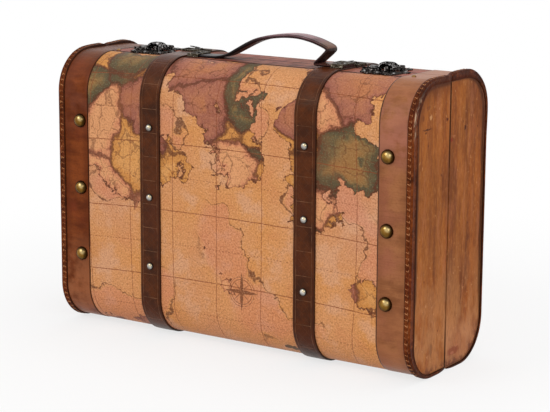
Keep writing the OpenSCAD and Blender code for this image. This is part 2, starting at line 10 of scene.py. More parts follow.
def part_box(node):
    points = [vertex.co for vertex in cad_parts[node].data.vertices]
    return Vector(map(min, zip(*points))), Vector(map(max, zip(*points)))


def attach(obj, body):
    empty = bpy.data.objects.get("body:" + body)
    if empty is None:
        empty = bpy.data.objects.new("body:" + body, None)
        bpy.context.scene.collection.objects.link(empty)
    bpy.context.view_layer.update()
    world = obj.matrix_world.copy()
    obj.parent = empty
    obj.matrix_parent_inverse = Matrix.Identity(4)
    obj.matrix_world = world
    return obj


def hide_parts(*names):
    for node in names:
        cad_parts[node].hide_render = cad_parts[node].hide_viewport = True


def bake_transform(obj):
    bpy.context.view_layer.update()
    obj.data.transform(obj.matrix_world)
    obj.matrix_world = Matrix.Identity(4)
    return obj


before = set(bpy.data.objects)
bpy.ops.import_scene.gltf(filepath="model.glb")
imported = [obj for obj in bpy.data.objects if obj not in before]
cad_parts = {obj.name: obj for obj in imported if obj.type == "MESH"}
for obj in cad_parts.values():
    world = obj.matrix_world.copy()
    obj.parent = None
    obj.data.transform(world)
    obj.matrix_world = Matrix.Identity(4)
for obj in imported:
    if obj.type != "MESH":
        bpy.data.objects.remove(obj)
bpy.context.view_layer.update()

mm = 0.001
halves = {"front": -1, "back": 1}
hands = {"left": -1, "right": 1}
white = (1, 1, 1, 1)


def acting(operation, backwards=False):  # a method of Wire that adds a Math node
    def act(self, *others):
        values = (*others, self) if backwards else (self, *others)
        return self.tree.maths(operation, *values)
    return act


# Node trees: an output of a node takes part in sums, and the sums add Math nodes
class Wire:
    __add__ = __radd__ = acting("ADD")
    __sub__ = acting("SUBTRACT")
    __rsub__ = acting("SUBTRACT", backwards=True)
    __mul__ = __rmul__ = acting("MULTIPLY")
    __truediv__ = acting("DIVIDE")
    __pow__ = acting("POWER")
    __abs__ = acting("ABSOLUTE")
    root = acting("SQRT")
    atMost = acting("MINIMUM")

    def __init__(self, tree, socket):
        self.tree = tree
        self.socket = socket

    def atLeast(self, *others):
        return reduce(lambda high, other: self.tree.maths("MAXIMUM", high, other), others, self)

    def offPitch(self, pitch):  # distance to the nearest multiple of the pitch
        return self.tree.maths("PINGPONG", self, pitch / 2)

    def smooth(self, low, high):  # 0 at low, 1 at high, also where low is the larger
        return self.tree.add("ShaderNodeMapRange", {0: self, 1: low, 2: high}, interpolation_type="SMOOTHSTEP")

    def line(self, halfWidth):  # 1 within half a width of 0
        return abs(self).smooth(halfWidth * 1.25, halfWidth * 0.6)

    def coated(self, *layers):  # this colour under others: share, colour, share, colour and so on
        colour = self
        for share, coat in zip(layers[::2], layers[1::2]):
            colour = self.tree.mix(share, colour, coat)
        return colour


class Tree:
    def __init__(self, nodeTree):
        self.nodes = nodeTree.nodes
        self.links = nodeTree.links

    def feed(self, socket, value):  # a colour of three values is a screen colour, of four a linear one
        if isinstance(value, Wire):
            self.links.new(value.socket, socket)
        elif socket.type == "RGBA" and len(value) == 3:
            socket.default_value = linear(value)
        else:
            socket.default_value = value

    def add(self, kind, inputs=None, out=0, stops=(), **settings):
        node = self.nodes.new(kind)
        for key, value in settings.items():
            setattr(node, key, value)
        for k, (position, colour) in enumerate(stops):  # a new ramp has two stops
            element = node.color_ramp.elements[k] if k < 2 else node.color_ramp.elements.new(1.0)
            element.position = position
            element.color = linear(colour)
        for key, value in (inputs or {}).items():
            self.feed(node.inputs[key], value)
        return Wire(self, node.outputs[out] if node.outputs else None)

    def maths(self, operation, *values):
        return self.add("ShaderNodeMath", dict(enumerate(values)), operation=operation)

    def vector(self, operation, *values, out=0):
        return self.add("ShaderNodeVectorMath", dict(enumerate(values)), out, operation=operation)

    def parts(self, vector):
        node = self.add("ShaderNodeSeparateXYZ", {0: vector}).socket.node
        return [Wire(self, node.outputs[k]) for k in range(3)]

    def mix(self, factor, a, b):
        return self.add("ShaderNodeMix", {0: factor, 6: a, 7: b}, 2, data_type="RGBA")

    def directRays(self):  # 1 for what the camera sees, also in a mirror or through glass
        path = self.add("ShaderNodeLightPath").socket.node
        camera, glossy, clear = (Wire(self, path.outputs[f"Is {kind} Ray"])
                                 for kind in ("Camera", "Glossy", "Transmission"))
        return camera.atLeast(glossy, clear)


def linear(screen):  # screen values 0 to 255 as a linear colour
    values = [v / 255 for v in screen]
    return [v / 12.92 if v <= 0.04045 else ((v + 0.055) / 1.055) ** 2.4 for v in values] + [1.0]


class Finish(Tree):
    def __init__(self, name, slot=None, **constants):
        self.material = bpy.data.materials.new(name)
        self.material.use_nodes = True
        self.slot = slot
        super().__init__(self.material.node_tree)
        self.shader = self.nodes["Principled BSDF"]
        self.spot = self.add("ShaderNodeTexCoord", out="Object")  # where the textures below are read
        self.paint(**constants)

    def paint(self, **values):  # baseColor feeds the shader's Base Color
        for key, value in values.items():
            name = "".join(" " + c if c.isupper() else c for c in key).title().replace("Ior", "IOR")
            self.feed(self.shader.inputs[name], value)

    def dressed(self, colour, height, **values):  # height in mm
        bump = self.add("ShaderNodeBump", {"Distance": mm, "Height": height})
        self.paint(baseColor=colour, normal=bump, **values)
        return self

    def facing(self):
        return self.parts(self.add("ShaderNodeTexCoord", out="Normal"))

    def along(self, shift=(0, 0, 0)):
        # From here on textures are read by the mesh's own layer: across the case and along its way round
        here = self.add("ShaderNodeUVMap", uv_map="along")
        self.spot = self.vector("ADD", here, shift)
        return self.parts(here)

    def clouds(self, scale, detail=3, roughness=0.5, spot=None, out=0):
        return self.add("ShaderNodeTexNoise", {"Vector": spot or self.spot, "Scale": scale, "Detail": detail,
                                               "Roughness": roughness}, out)

    def grain(self, scale, detail=3, roughness=0.5):  # clouds with a scale for each direction
        return self.clouds(1, detail, roughness, self.vector("MULTIPLY", self.spot, scale))

    def shaken(self, scale, detail, reach):
        return self.vector("MULTIPLY_ADD", self.clouds(scale, detail, 0.6, out="Color"), reach, self.spot)

    def cells(self, scale, feature="F1", spot=None, out=0):
        inputs = {"Vector": spot or self.spot, "Scale": scale}
        return self.add("ShaderNodeTexVoronoi", inputs, out, feature=feature)


def linked(name, data):
    thing = bpy.data.objects.new(name, data)
    bpy.context.scene.collection.objects.link(thing)
    return thing


# Camera, lamps and floor
photo = {"focal": 1841.457, "width": 550, "azimuth": 34.05, "elevation": 11.564, "roll": 0.31,
         "spot": (1.0753, -1.5735, 0.533), "sensor": 36, "farthest": 50}
# spot, size and power of each lamp; share of the floor that is plain white near the case and far off
studio = {"aim": (0, 0, 0.15), "sky": 0.62, "lamps": {"keyLamp": ((-1.1, -2.2, 1.9), (1.3, 1.0), 15.0),
                                                      "softLamp": ((1.9, -1.6, 1.5), (1.5, 1.3), 18.0),
                                                      "topLamp": ((0.2, 0.5, 2.4), (1.8, 1.2), 10.0)},
          "floorReach": 8.0, "floorPaint": (0.92, 0.92, 0.92, 1), "floorWhite": (0.74, 0.26),
          "floorFade": (0.25, 0.8)}


def makeCamera():
    data = bpy.data.cameras.new("photoCamera")
    data.sensor_width = photo["sensor"]
    data.lens = data.sensor_width * photo["focal"] / photo["width"]
    data.clip_end = photo["farthest"]
    pose = Matrix.Translation(photo["spot"])
    for axis, degrees in (("Z", photo["azimuth"]), ("X", 90 - photo["elevation"]), ("Z", photo["roll"])):
        pose = pose @ Matrix.Rotation(math.radians(degrees), 4, axis)
    camera = linked("photoCamera", data)
    camera.matrix_world = pose
    bpy.context.scene.camera = camera


def makeStudio():
    for name, (spot, size, power) in studio["lamps"].items():
        data = bpy.data.lights.new(name, "AREA")
        data.shape = "RECTANGLE"
        data.size, data.size_y = size
        data.energy = power
        heading = Vector(studio["aim"]) - Vector(spot)
        linked(name, data).matrix_world = (
            Matrix.Translation(spot) @ heading.to_track_quat("-Z", "Y").to_matrix().to_4x4())
    world = bpy.data.worlds.new("whiteStudio")
    world.use_nodes = True
    bpy.context.scene.world = world
    tree = Tree(world.node_tree)
    background = tree.nodes["Background"]
    tree.feed(background.inputs["Color"], white)
    tree.feed(background.inputs["Strength"], studio["sky"] + tree.directRays() * (1 - studio["sky"]))


def makeFloor():
    mesh = bpy.data.meshes.new("floor")
    reach = studio["floorReach"]
    mesh.from_pydata([(-reach, -reach, 0), (reach, -reach, 0), (reach, reach, 0), (-reach, reach, 0)],
                     [], [(0, 1, 2, 3)])
    f = Finish("paleFloor", baseColor=studio["floorPaint"], roughness=0.9)
    near, more = studio["floorWhite"]
    apart = f.vector("LENGTH", f.spot, out="Value")
    share = f.directRays() * (near + more * apart.smooth(*studio["floorFade"]))
    glow = f.add("ShaderNodeEmission", {"Color": white, "Strength": 1.0})
    shaded = f.add("ShaderNodeMixShader", {0: share, 1: Wire(f, f.shader.outputs[0]), 2: glow})
    f.feed(f.nodes["Material Output"].inputs["Surface"], shaded)
    mesh.materials.append(f.material)
    linked("floor", mesh)


makeCamera()
makeStudio()
makeFloor()
bpy.context.scene.view_settings.view_transform = "Standard"
print("camera, lamps and floor made")

# The way round a half of the case, from the bottom seam up the long face to the top seam
shellLow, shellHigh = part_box("front_shell")
stripLow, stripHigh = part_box("front_top_strip")
wood = {"depth": -shellLow.y, "bottom": shellLow.z, "top": shellHigh.z, "seam": -shellHigh.y,
        "end": shellHigh.x, "flat": -stripLow.y, "cover": stripHigh.x, "skin": stripHigh.z - shellHigh.z}
wood["bend"] = wood["depth"] - wood["flat"]
bendLength = wood["bend"] * math.pi / 2
faceLength = wood["top"] - wood["bottom"] - 2 * wood["bend"]
roundMarks = list(accumulate((0, wood["flat"], bendLength, faceLength, bendLength, wood["flat"])))
_, lowEdge, lowFace, highFace, topEdge, wayLength = roundMarks


def roundSpot(s, lift):  # depth and height of the point at s, lifted off the plywood
    if s > wayLength / 2:  # the upper half of the way mirrors the lower one
        y, z = roundSpot(wayLength - s, lift)
        return y, wood["top"] + wood["bottom"] - z
    bend = wood["bend"]
    if s <= lowEdge:
        return s, wood["bottom"] - lift
    if s <= lowFace:
        turn = (s - lowEdge) / bend
        return (wood["flat"] + (bend + lift) * math.sin(turn),
                wood["bottom"] + bend - (bend + lift) * math.cos(turn))
    return wood["depth"] + lift, wood["bottom"] + bend + s - lowFace


def roundStations(start, end, step):
    marks = {start, end}
    for first, last in zip(roundMarks, roundMarks[1:]):
        count = max(1, round((last - first) / step))
        marks.update(first + (last - first) * k / count for k in range(count + 1))
    return sorted(m for m in marks if start <= m <= end)


def waver(s, seed, reach, pitch=0.03):  # slow unevenness of hand-cut leather
    return reach * noise.noise(Vector((s / pitch, seed * 7.3, 0)))


def eased(t):  # 0 up to 0, 1 from 1, and a soft rise between
    t = min(1, max(0, t))
    return t * t * (3 - 2 * t)


def camel(node):
    first, *rest = node.split("_")
    return first + "".join(word.title() for word in rest)


def finishPiece(name, mesh, finish, body, replaced=(), sharp=40):
    mesh.shade_smooth()
    mesh.set_sharp_from_angle(angle=math.radians(sharp))
    mesh.materials.clear()
    mesh.materials.append(finish.material)
    piece = linked(name, mesh)
    if body:
        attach(piece, body)
    if replaced:
        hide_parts(*replaced)
    return piece


def skinMesh(name, strands, marks=()):
    # Closed skins over strands of rings; the marks, one for each corner, fill the layer "along"
    shape = bmesh.new()
    for strand in strands:
        rings = [[shape.verts.new(spot) for spot in ring] for ring in strand]
        for near, far in zip(rings, rings[1:]):
            for k in range(len(near)):
                n = (k + 1) % len(near)
                shape.faces.new((near[k], near[n], far[n], far[k]))
        shape.faces.new(rings[0])
        shape.faces.new(reversed(rings[-1]))
    if marks:
        layer = shape.loops.layers.uv.new("along")
        shape.verts.index_update()
        for face in shape.faces:
            for loop in face.loops:
                loop[layer].uv = marks[loop.vert.index]
    bmesh.ops.recalc_face_normals(shape, faces=shape.faces)
    mesh = bpy.data.meshes.new(name)
    shape.to_mesh(mesh)
    shape.free()
    return mesh


def sweepMesh(name, side, stations, outlineAt, numbered=False):
    # A closed outline of (along the case, lift) corners, carried round a half
    rings = []
    marks = []
    for s in stations:
        outline = outlineAt(s)
        spots = [roundSpot(s, lift) for _, lift in outline]
        rings.append([(x, side * y, z) for (x, _), (y, z) in zip(outline, spots)])
        marks += [(k if numbered else x, s) for k, (x, _) in enumerate(outline)]
    return skinMesh(name, [rings], marks)


def arc(x, y, radius, start, stop, count=5):  # corners along an arc, its angles in degrees
    turns = [math.radians(start + (stop - start) * k / (count - 1)) for k in range(count)]
    return [(x + radius * math.cos(a), y + radius * math.sin(a)) for a in turns]


def stripOutline(x0, x1, low, high, edge, crown=0.0, across=10):
    # Flat strip with rolled upper edges, from its left foot over the top to its right foot
    left = x0 + edge
    right = x1 - edge
    steps = [k / across for k in range(1, across)]
    return [(x0, low), *arc(left, high - edge, edge, 180, 90),
            *((left + (right - left) * t, high + crown * 4 * t * (1 - t)) for t in steps),
            *arc(right, high - edge, edge, 90, 0), (x1, low)]


def dressEnds(half, part, stations, outlineAt, leathers, numbered=False, sharp=40):
    # The same strip of leather at both ends of a half
    for hand, sign in hands.items():
        node = f"{half}_{part}_{hand}"
        mesh = sweepMesh(half + hand, halves[half], stations, lambda s: outlineAt(s, half, sign), numbered)
        name = camel(node.replace("wrap", "strip"))
        finishPiece(name, mesh, leathers[hand], half + "_half", [node], sharp)


# Printed cover: an invented old sea chart on pebbled leathercloth
chart = {"thick": 0.7 * mm, "edge": 0.2 * mm, "step": 4 * mm, "across": 48,
         "meridian": 0.0565, "parallel": 0.071, "lineHalf": 0.5 * mm,
         "roseSpot": (0.02, 0.118), "roseReach": 0.021, "shore": 0.545, "tide": 0.045,
         "shift": {"front": (0, 0, 0), "back": (0.37, 0.81, 0.0)},
         "ground": (212, 148, 96), "groundWarm": (212, 144, 80), "groundPink": (204, 143, 106),
         "groundPale": (214, 162, 128), "groundRust": (206, 134, 84), "blush": (206, 128, 100),
         "lines": (128, 62, 32), "ink": (84, 40, 24),
         # each land is washed dark along its edge and paler inland: steepness, then places and colours
         "lands": {"ochre": (30, (0.0, (190, 126, 64)), (0.5, (206, 140, 70)), (1.0, (216, 154, 88))),
                   "peach": (34, (0.0, (190, 114, 86)), (0.4, (210, 140, 100)), (1.0, (220, 156, 108))),
                   "rose": (13, (0.0, (132, 72, 66)), (0.35, (164, 100, 80)), (1.0, (182, 114, 74))),
                   "olive": (16, (0.0, (44, 52, 38)), (0.42, (66, 72, 50)), (0.72, (120, 98, 58)),
                             (1.0, (146, 106, 58)))}}


def compassInk(f, u, v):
    # A generic eight-pointed compass star with its rings and rays
    dx = u - chart["roseSpot"][0]
    dy = v - chart["roseSpot"][1]
    reach = (dx * dx + dy * dy).root()
    turn = f.maths("ARCTAN2", dy, dx)
    eighth = math.pi / 4
    rays = (turn.offPitch(eighth / 2) * reach).line(0.2 * mm)
    rays = rays * reach.smooth(0.024, 0.03) * reach.smooth(0.12, 0.05) * 0.4
    star = chart["roseReach"]
    longTip = turn.offPitch(2 * eighth) * 3.4 + 1
    shortTip = turn.offPitch(eighth) * 5.5 + 1
    points = (reach - star * longTip ** -1.6).smooth(0.0, -0.4 * mm)
    smallPoints = (reach - 0.68 * star * shortTip ** -1.6).smooth(0.0, -0.4 * mm)
    ring = (reach - star * 0.62).line(0.35 * mm).atLeast((reach - star * 0.74).line(0.25 * mm))
    return rays.atLeast(ring * 0.85, points * 0.85, smallPoints * 0.6)


def chartFinish(half):
    f = Finish(half + "Chart", "printed_cover", specularIorLevel=0.22, specularTint=(1.0, 0.8, 0.62, 1))
    u, v, _ = f.along(chart["shift"][half])
    # ragged coasts: a slow noise read at a place that a finer noise has shaken
    shaken = f.shaken(42, 4, (0.03, 0.03, 0))
    height = f.clouds(10.5, 5, 0.55, shaken)
    above = height + v.smooth(0.17, 0.27) * 0.12 - chart["shore"] - chart["tide"]
    land = above.smooth(0.0, 0.004)
    pick = f.parts(f.cells(17, spot=shaken, out="Color"))[0]
    border = f.cells(17, "DISTANCE_TO_EDGE", shaken)
    county = f.cells(44, "DISTANCE_TO_EDGE", shaken)
    mottle = f.clouds(95, 5, 0.72)
    inland = above.atMost(border * 0.22) + (mottle - 0.5) * 0.05
    ochre, peach, rose, olive = (f.add("ShaderNodeValToRGB", {0: inland * steep}, stops=stops)
                                 for steep, *stops in chart["lands"].values())
    colour = f.mix(pick.smooth(0.3, 0.305), ochre, peach).coated(
        pick.smooth(0.46, 0.465), rose, pick.smooth(0.74, 0.745), olive)
    # thin coasts with a blush inside them, drawn on the open ground
    washes = f.clouds(27, 4, 0.55)
    faint = f.clouds(9, 3, 0.42, shaken)
    drawn = (1 - land) * f.clouds(5, 1).smooth(0.42, 0.47)
    sea = f.mix(f.clouds(7).smooth(0.32, 0.54), chart["groundPink"], chart["groundWarm"])
    painted = sea.coated(
        f.clouds(16).smooth(0.3, 0.7), chart["ground"],
        washes.smooth(0.49, 0.64) * 0.6, chart["groundPale"],
        washes.smooth(0.47, 0.34) * 0.45, chart["groundRust"],
        (faint - 0.5).smooth(0.0, 0.02) * drawn * 0.45, chart["blush"],
        land * 0.94, colour)
    # ink: shores, borders, outlines, graticule, mountain marks and the compass star
    shoreLine = (above - 0.002).line(0.0045)
    borderLine = border.line(0.035) * land * 0.8
    countyLine = county.line(0.022) * land * 0.55
    outline = (faint - 0.5).line(0.0036) * drawn
    bow = (v - 0.2) * (v - 0.2) * u * 2.2
    wobble = (mottle - 0.5) * 0.0016
    meridian = (u + bow + 0.012 + wobble).offPitch(chart["meridian"]).line(chart["lineHalf"])
    across = v + u * u * 0.16 + 0.02 + wobble
    parallel = across.offPitch(chart["parallel"]).line(chart["lineHalf"])
    dashes = u.offPitch(4 * mm).smooth(1.3 * mm, 0.9 * mm)
    between = (across - chart["parallel"] / 2).offPitch(chart["parallel"]).line(0.4 * mm) * dashes
    cellX, cellY, _ = f.parts(f.vector("SUBTRACT", f.spot, f.cells(105, out="Position")))
    peak = (abs(cellX) * 1.5 + cellY - 0.9 * mm).line(0.3 * mm) * abs(cellX).smooth(1.3 * mm, 1.1 * mm)
    ranges = f.clouds(24, 2).smooth(0.5, 0.54) * land
    ink = shoreLine.atLeast(borderLine, countyLine, outline * 0.85, peak * ranges * 0.8, compassInk(f, u, v))
    graticule = (meridian * 0.85).atLeast(parallel, between * 0.75)
    worn = f.clouds(330, 2, 0.6).smooth(0.34, 0.55)
    # pebbles of the leathercloth, their worn tops, stains, and a painted shadow line on the cover below the top
    # strip's edge
    pebble = f.cells(560, "SMOOTH_F1")
    speck = f.clouds(520, 3, 0.75)
    return f.dressed(painted.coated(
        graticule * (0.6 + 0.3 * worn), chart["lines"],
        ink * (0.7 + 0.28 * worn), chart["ink"],
        speck.smooth(0.44, 0.72) * 0.55, (118, 64, 38),
        speck.smooth(0.5, 0.28) * (0.36 - 0.2 * land), (242, 194, 148),
        f.clouds(12, 5, 0.6).smooth(0.52, 0.75) * 0.3, (172, 104, 60),
        (topEdge - v).smooth(3.2 * mm, 1.8 * mm) * 0.85, (62, 30, 20)),
        pebble * -0.22 + ink * -0.04, roughness=0.42 + 0.22 * speck)


def makeCovers():
    for half, side in halves.items():
        edge = wood["cover"]
        outline = stripOutline(-edge, edge, 0, chart["thick"], chart["edge"], across=chart["across"])
        stations = roundStations(wood["seam"], topEdge, chart["step"])
        mesh = sweepMesh(half + "PrintedCover", side, stations, lambda s: outline)
        finishPiece(half + "PrintedCover", mesh, chartFinish(half), half + "_half", [half + "_cover"])


makeCovers()
print("printed covers made")

# Leather: end strips, top strips, straps and bindings; three dyes each, dark, light and blush
leather = {"right": ((118, 68, 38), (158, 101, 63), (152, 89, 67)),
           "left": ((88, 36, 11), (128, 62, 25), (116, 49, 26)),
           "top": ((84, 42, 32), (170, 102, 80), (156, 86, 76)),
           "strap": ((50, 17, 2), (82, 36, 7), (71, 28, 9)),
           "binding": ((66, 26, 8), (114, 54, 22), (98, 38, 18)),
           "handle": ((60, 40, 42), (132, 92, 92), (112, 74, 80)),
           "edge": (44, 20, 10), "sheen": (1.0, 0.74, 0.56, 1)}


def leatherFinish(name, slot, roughness, level=0.2, sheen=leather["sheen"]):
    return Finish(name, slot, roughness=roughness, specularIorLevel=level, specularTint=sheen)


def hide(f, dyes, creaseWay, relief=0.1):
    # Dyed leather: blotches of three dyes, long creases and fine pores
    dark, light, blush = dyes
    creases = f.grain(creaseWay, 4, 0.6)
    pores = f.cells(700, "SMOOTH_F1")
    blotch = f.clouds(28, 5, 0.6) * 0.55 + creases * 0.45
    colour = f.mix(blotch.smooth(0.38, 0.6), dark, light).coated(
        f.clouds(19).smooth(0.48, 0.66) * 0.7, blush,
        f.clouds(420, 3, 0.7).smooth(0.5, 0.66) * 0.35, dark)
    return colour, creases.smooth(0.35, 0.65) * relief * 2 + pores * -relief


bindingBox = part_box("front_binding_right")
binding = {"outer": bindingBox[1].x, "high": bindingBox[1].z - wood["top"], "faceWidth": 7.7 * mm,
           "bottomStop": 0.8 * mm, "topStop": 0.8 * mm, "hingeHeight": 2.3 * mm, "pared": 0.6,
           "roll": 1.6 * mm, "groove": 0.8 * mm, "grime": {"front": 0.85, "back": 1.0}, "step": 3 * mm,
           # its ends are thinned: how much is left at the very end, and over which length
           "thinLow": (0.35, 16 * mm), "thinHigh": (0.55, 7 * mm), "waver": 0.35 * mm,
           # how far the leather stands off the plywood, by distance from the top seam, both in mm
           "swell": {("front", -1): ((2, 1.8), (14, 1.5), (45, 0.2), (60, 0.0)),
                     ("front", 1): ((0, 0.0),),
                     ("back", -1): ((2, 0.4), (10, 0.9), (30, 1.8), (55, 3.0), (80, 2.8), (125, 0.0)),
                     ("back", 1): ((2, 0.2), (8, 1.6), (16, 2.2), (70, 2.2), (98, 1.1), (125, 0.0))},
           # width of the lip on the end board at the bottom, up the face and at the top
           "lip": {"front": (3.8 * mm, 11.2 * mm, 7.0 * mm), "back": (2.2 * mm, 2.4 * mm, 7.0 * mm)}}
binding["inner"] = binding["outer"] - binding["faceWidth"]
strip = {"endThick": 1.15 * mm, "topThick": 1.0 * mm, "edge": 0.4 * mm, "inner": wood["cover"] - 0.3 * mm,
         "endStep": 4 * mm, "topStep": 3 * mm, "topAcross": 40, "waver": 0.35 * mm,
         "left": {"level": 0.1, "streaks": 0.14, "sides": 0.55, "faded": 0.62, "crest": 0.1,
                  "bent": 0.5, "bentDye": (88, 62, 46)},
         "right": {"level": 0.2, "streaks": 0.3, "sides": 0.25, "faded": 0.45, "crest": 0.5,
                   "bent": 0.35, "bentDye": (172, 106, 62)}}


def endStripFinish(hand):
    shares = strip[hand]
    f = leatherFinish("endStrip" + hand.title(), "end_strip_leather", 0.38, shares["level"])
    u, v, _ = f.along()
    dyes = leather[hand]
    colour, height = hide(f, dyes, (24, 90, 1))
    streak = f.grain((26, 800, 1), 3, 0.65)
    offMiddle = abs(abs(u) - (wood["cover"] + binding["inner"]) / 2)
    faded = v.smooth(lowFace + 75 * mm, lowFace) * f.clouds(36, 4, 0.6).smooth(0.3, 0.56)
    crest = v.smooth(highFace - 50 * mm, highFace - 22 * mm) * v.smooth(topEdge, highFace)
    edgeDark = (abs(u) - wood["cover"]).smooth(1.6 * mm, 0.5 * mm)
    return f.dressed(colour.coated(
        streak.smooth(0.5, 0.66) * shares["streaks"], dyes[0],
        streak.smooth(0.46, 0.32) * shares["streaks"], dyes[1],
        # painted shade: darker towards both edges of the strip, lighter down its middle
        offMiddle.smooth(5 * mm, 13 * mm) * shares["sides"], dyes[0],
        faded * shares["faded"], (168, 104, 68),
        # painted highlight: a pinkish sheen on the strip near the top bend
        crest * f.clouds(44, 4, 0.6).smooth(0.34, 0.56) * shares["crest"], (176, 112, 94),
        v.smooth(highFace + 0.2 * bendLength, topEdge) * shares["bent"], shares["bentDye"],
        edgeDark * 0.85, leather["edge"]), height + edgeDark * -0.3 + streak * 0.1)


def topStripFinish():
    f = leatherFinish("topStripLeather", "top_strip_leather", 0.48, 0.07)
    v = f.along()[1]
    colour, height = hide(f, leather["top"], (160, 14, 1))
    frontEdge = (v - topEdge).smooth(1.8 * mm, 0.7 * mm)
    seamEdge = (wayLength - wood["seam"] - v).smooth(1.6 * mm, 0.6 * mm)
    return f.dressed(colour.coated(frontEdge.atLeast(seamEdge) * 0.9, leather["edge"]), height)


def endStripOutline(s, half, sign):
    sway = waver(s, sign + halves[half] * 0.5, strip["waver"])
    x0, x1 = sorted((sign * strip["inner"] + sway, sign * wood["end"]))
    return stripOutline(x0, x1, 0, strip["endThick"], strip["edge"])


def makeStrips():
    endLeathers = {hand: endStripFinish(hand) for hand in hands}
    topLeather = topStripFinish()
    inner = strip["inner"]
    topOutline = stripOutline(-inner, inner, 0, strip["topThick"], strip["edge"], across=strip["topAcross"])
    seamEnd = wayLength - wood["seam"]
    endStations = roundStations(wood["seam"], seamEnd, strip["endStep"])
    topStations = roundStations(topEdge, seamEnd, strip["topStep"])
    for half, side in halves.items():
        dressEnds(half, "end_wrap", endStations, endStripOutline, endLeathers)
        mesh = sweepMesh(half + "Top", side, topStations, lambda s: topOutline)
        finishPiece(half + "TopStrip", mesh, topLeather, half + "_half", [half + "_top_strip"])


makeStrips()
print("leather strips made")

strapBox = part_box("front_strap_right")
strap = {"inner": strapBox[0].x, "outer": strapBox[1].x, "high": strapBox[1].z - wood["top"],
         "bottomStop": 6 * mm, "topStop": 0.8 * mm, "edge": 0.6 * mm, "crown": 0.12 * mm, "slack": 0.2 * mm,
         "step": 3 * mm, "waver": 0.3 * mm, "lift": 0.25 * mm, "proud": 0.1 * mm,
         "bandPitch": 25.3 * mm, "bandShift": 6 * mm, "pressed": (146, 98, 66)}


def strapFinish():
    f = leatherFinish("strapLeather", "strap_leather", 0.36)
    u, v, _ = f.along()
    colour, height = hide(f, leather["strap"], (60, 60, 1), 0.12)
    offMiddle = abs(abs(u) - (strap["inner"] + strap["outer"]) / 2)
    pitch = strap["bandPitch"]
    margin = (offMiddle - 9.4 * mm).line(0.32 * mm)
    band = (v + strap["bandShift"]).offPitch(pitch).line(0.42 * mm) * offMiddle.smooth(9.6 * mm, 9.3 * mm)
    fret = (u + v).offPitch(pitch / 2).line(0.3 * mm).atLeast((u - v).offPitch(pitch / 2).line(0.3 * mm))
    pressed = margin.atLeast(band, fret * offMiddle.smooth(7.2 * mm, 6.9 * mm) * 0.16)
    faded = f.clouds(130, 3, 0.6).smooth(0.36, 0.62)
    return f.dressed(colour.coated(
        pressed * (0.12 + 0.38 * faded), strap["pressed"],
        offMiddle.smooth(11.4 * mm, 12.6 * mm) * 0.85, leather["edge"]), height + pressed * -0.35)


def strapOutline(s, half, sign):
    x0, x1 = sorted((sign * strap["inner"], sign * strap["outer"]))
    seed = sign * 2 + halves[half]
    left, right = (waver(s, seed + k, strap["waver"]) for k in (0, 9))
    lift = strap["lift"] + waver(s, seed + 4, strap["lift"], 0.05)
    high = strap["high"] - strap["crown"] - strap["proud"] + min(strap["proud"], lift)
    return stripOutline(x0 + strap["slack"] + left, x1 - strap["slack"] + right, wood["skin"] * 0.6, high,
                        strap["edge"], strap["crown"])


def makeStraps():
    leathers = dict.fromkeys(hands, strapFinish())
    stations = roundStations(strap["bottomStop"], wayLength - strap["topStop"], strap["step"])
    for half in halves:
        dressEnds(half, "strap", stations, strapOutline, leathers)


makeStraps()
print("straps made")


def bindingFinish(half):
    f = leatherFinish(half + "BindingLeather", "binding_leather", 0.5, 0.07)
    z = f.parts(f.spot)[2]
    girth = f.parts(f.add("ShaderNodeUVMap", uv_map="along"))[0]
    colour, height = hide(f, leather["binding"], (90, 60, 60))
    rubbed = f.clouds(260, 4, 0.7)
    # darker on the lip by the board, more so low down; grime round the top where hands rub, and low down where
    # the floor does
    patches = f.clouds(60, 4, 0.6).smooth(0.36, 0.58)
    lip = girth.smooth(18.0, 18.6) * (0.55 + 0.4 * z.smooth(0.24, 0.2))
    handled = z.smooth(0.258, 0.292) * (0.2 + 0.5 * patches)
    scuffed = z.smooth(0.035, 0.008) * (0.4 + 0.5 * patches)
    groove = girth.smooth(3.6, 2.4).atLeast(girth.smooth(20.0, 21.0) * 0.7)
    colour = colour.coated(
        rubbed.smooth(0.53, 0.68) * 0.5, (158, 88, 46),
        rubbed.smooth(0.47, 0.34) * 0.6, (50, 22, 10),
        lip.atLeast(handled, scuffed) * binding["grime"][half], (44, 22, 15),
        groove * 0.8, leather["edge"])
    if half == "front":  # the corner is rubbed pale where it is held, and carries a painted highlight along the rolled edge
        scratchesAndHighlight = f.grain((900, 420, 110), 3, 0.65).smooth(0.47, 0.6)
        corner = girth.smooth(11.5, 13.5) * girth.smooth(18.4, 17.2)
        heldAndLit = z.smooth(0.238, 0.258) * z.smooth(0.29, 0.274)
        colour = colour.coated(corner * heldAndLit * scratchesAndHighlight * 0.75, (214, 178, 144))
    return f.dressed(colour, height * 1.6 + rubbed * 0.25, roughness=0.5 + 0.35 * lip)


def lipWidth(half, s):  # the lip widens from the bottom to the top
    bottom, face, top = binding["lip"][half]
    if s < highFace:
        return bottom + (face - bottom) * min(1, max(0, (s - lowEdge) / bendLength)) ** 1.4
    return face + (top - face) * eased(((s - highFace) / bendLength - 0.3) / 0.7)


def swellAt(half, sign, s):
    marks = binding["swell"][half, sign]
    before = (wayLength - s) / mm
    for (near, low), (far, high) in zip(marks, marks[1:]):
        if before < far:
            return (low + (high - low) * eased((before - near) / (far - near))) * mm
    return marks[-1][1] * mm


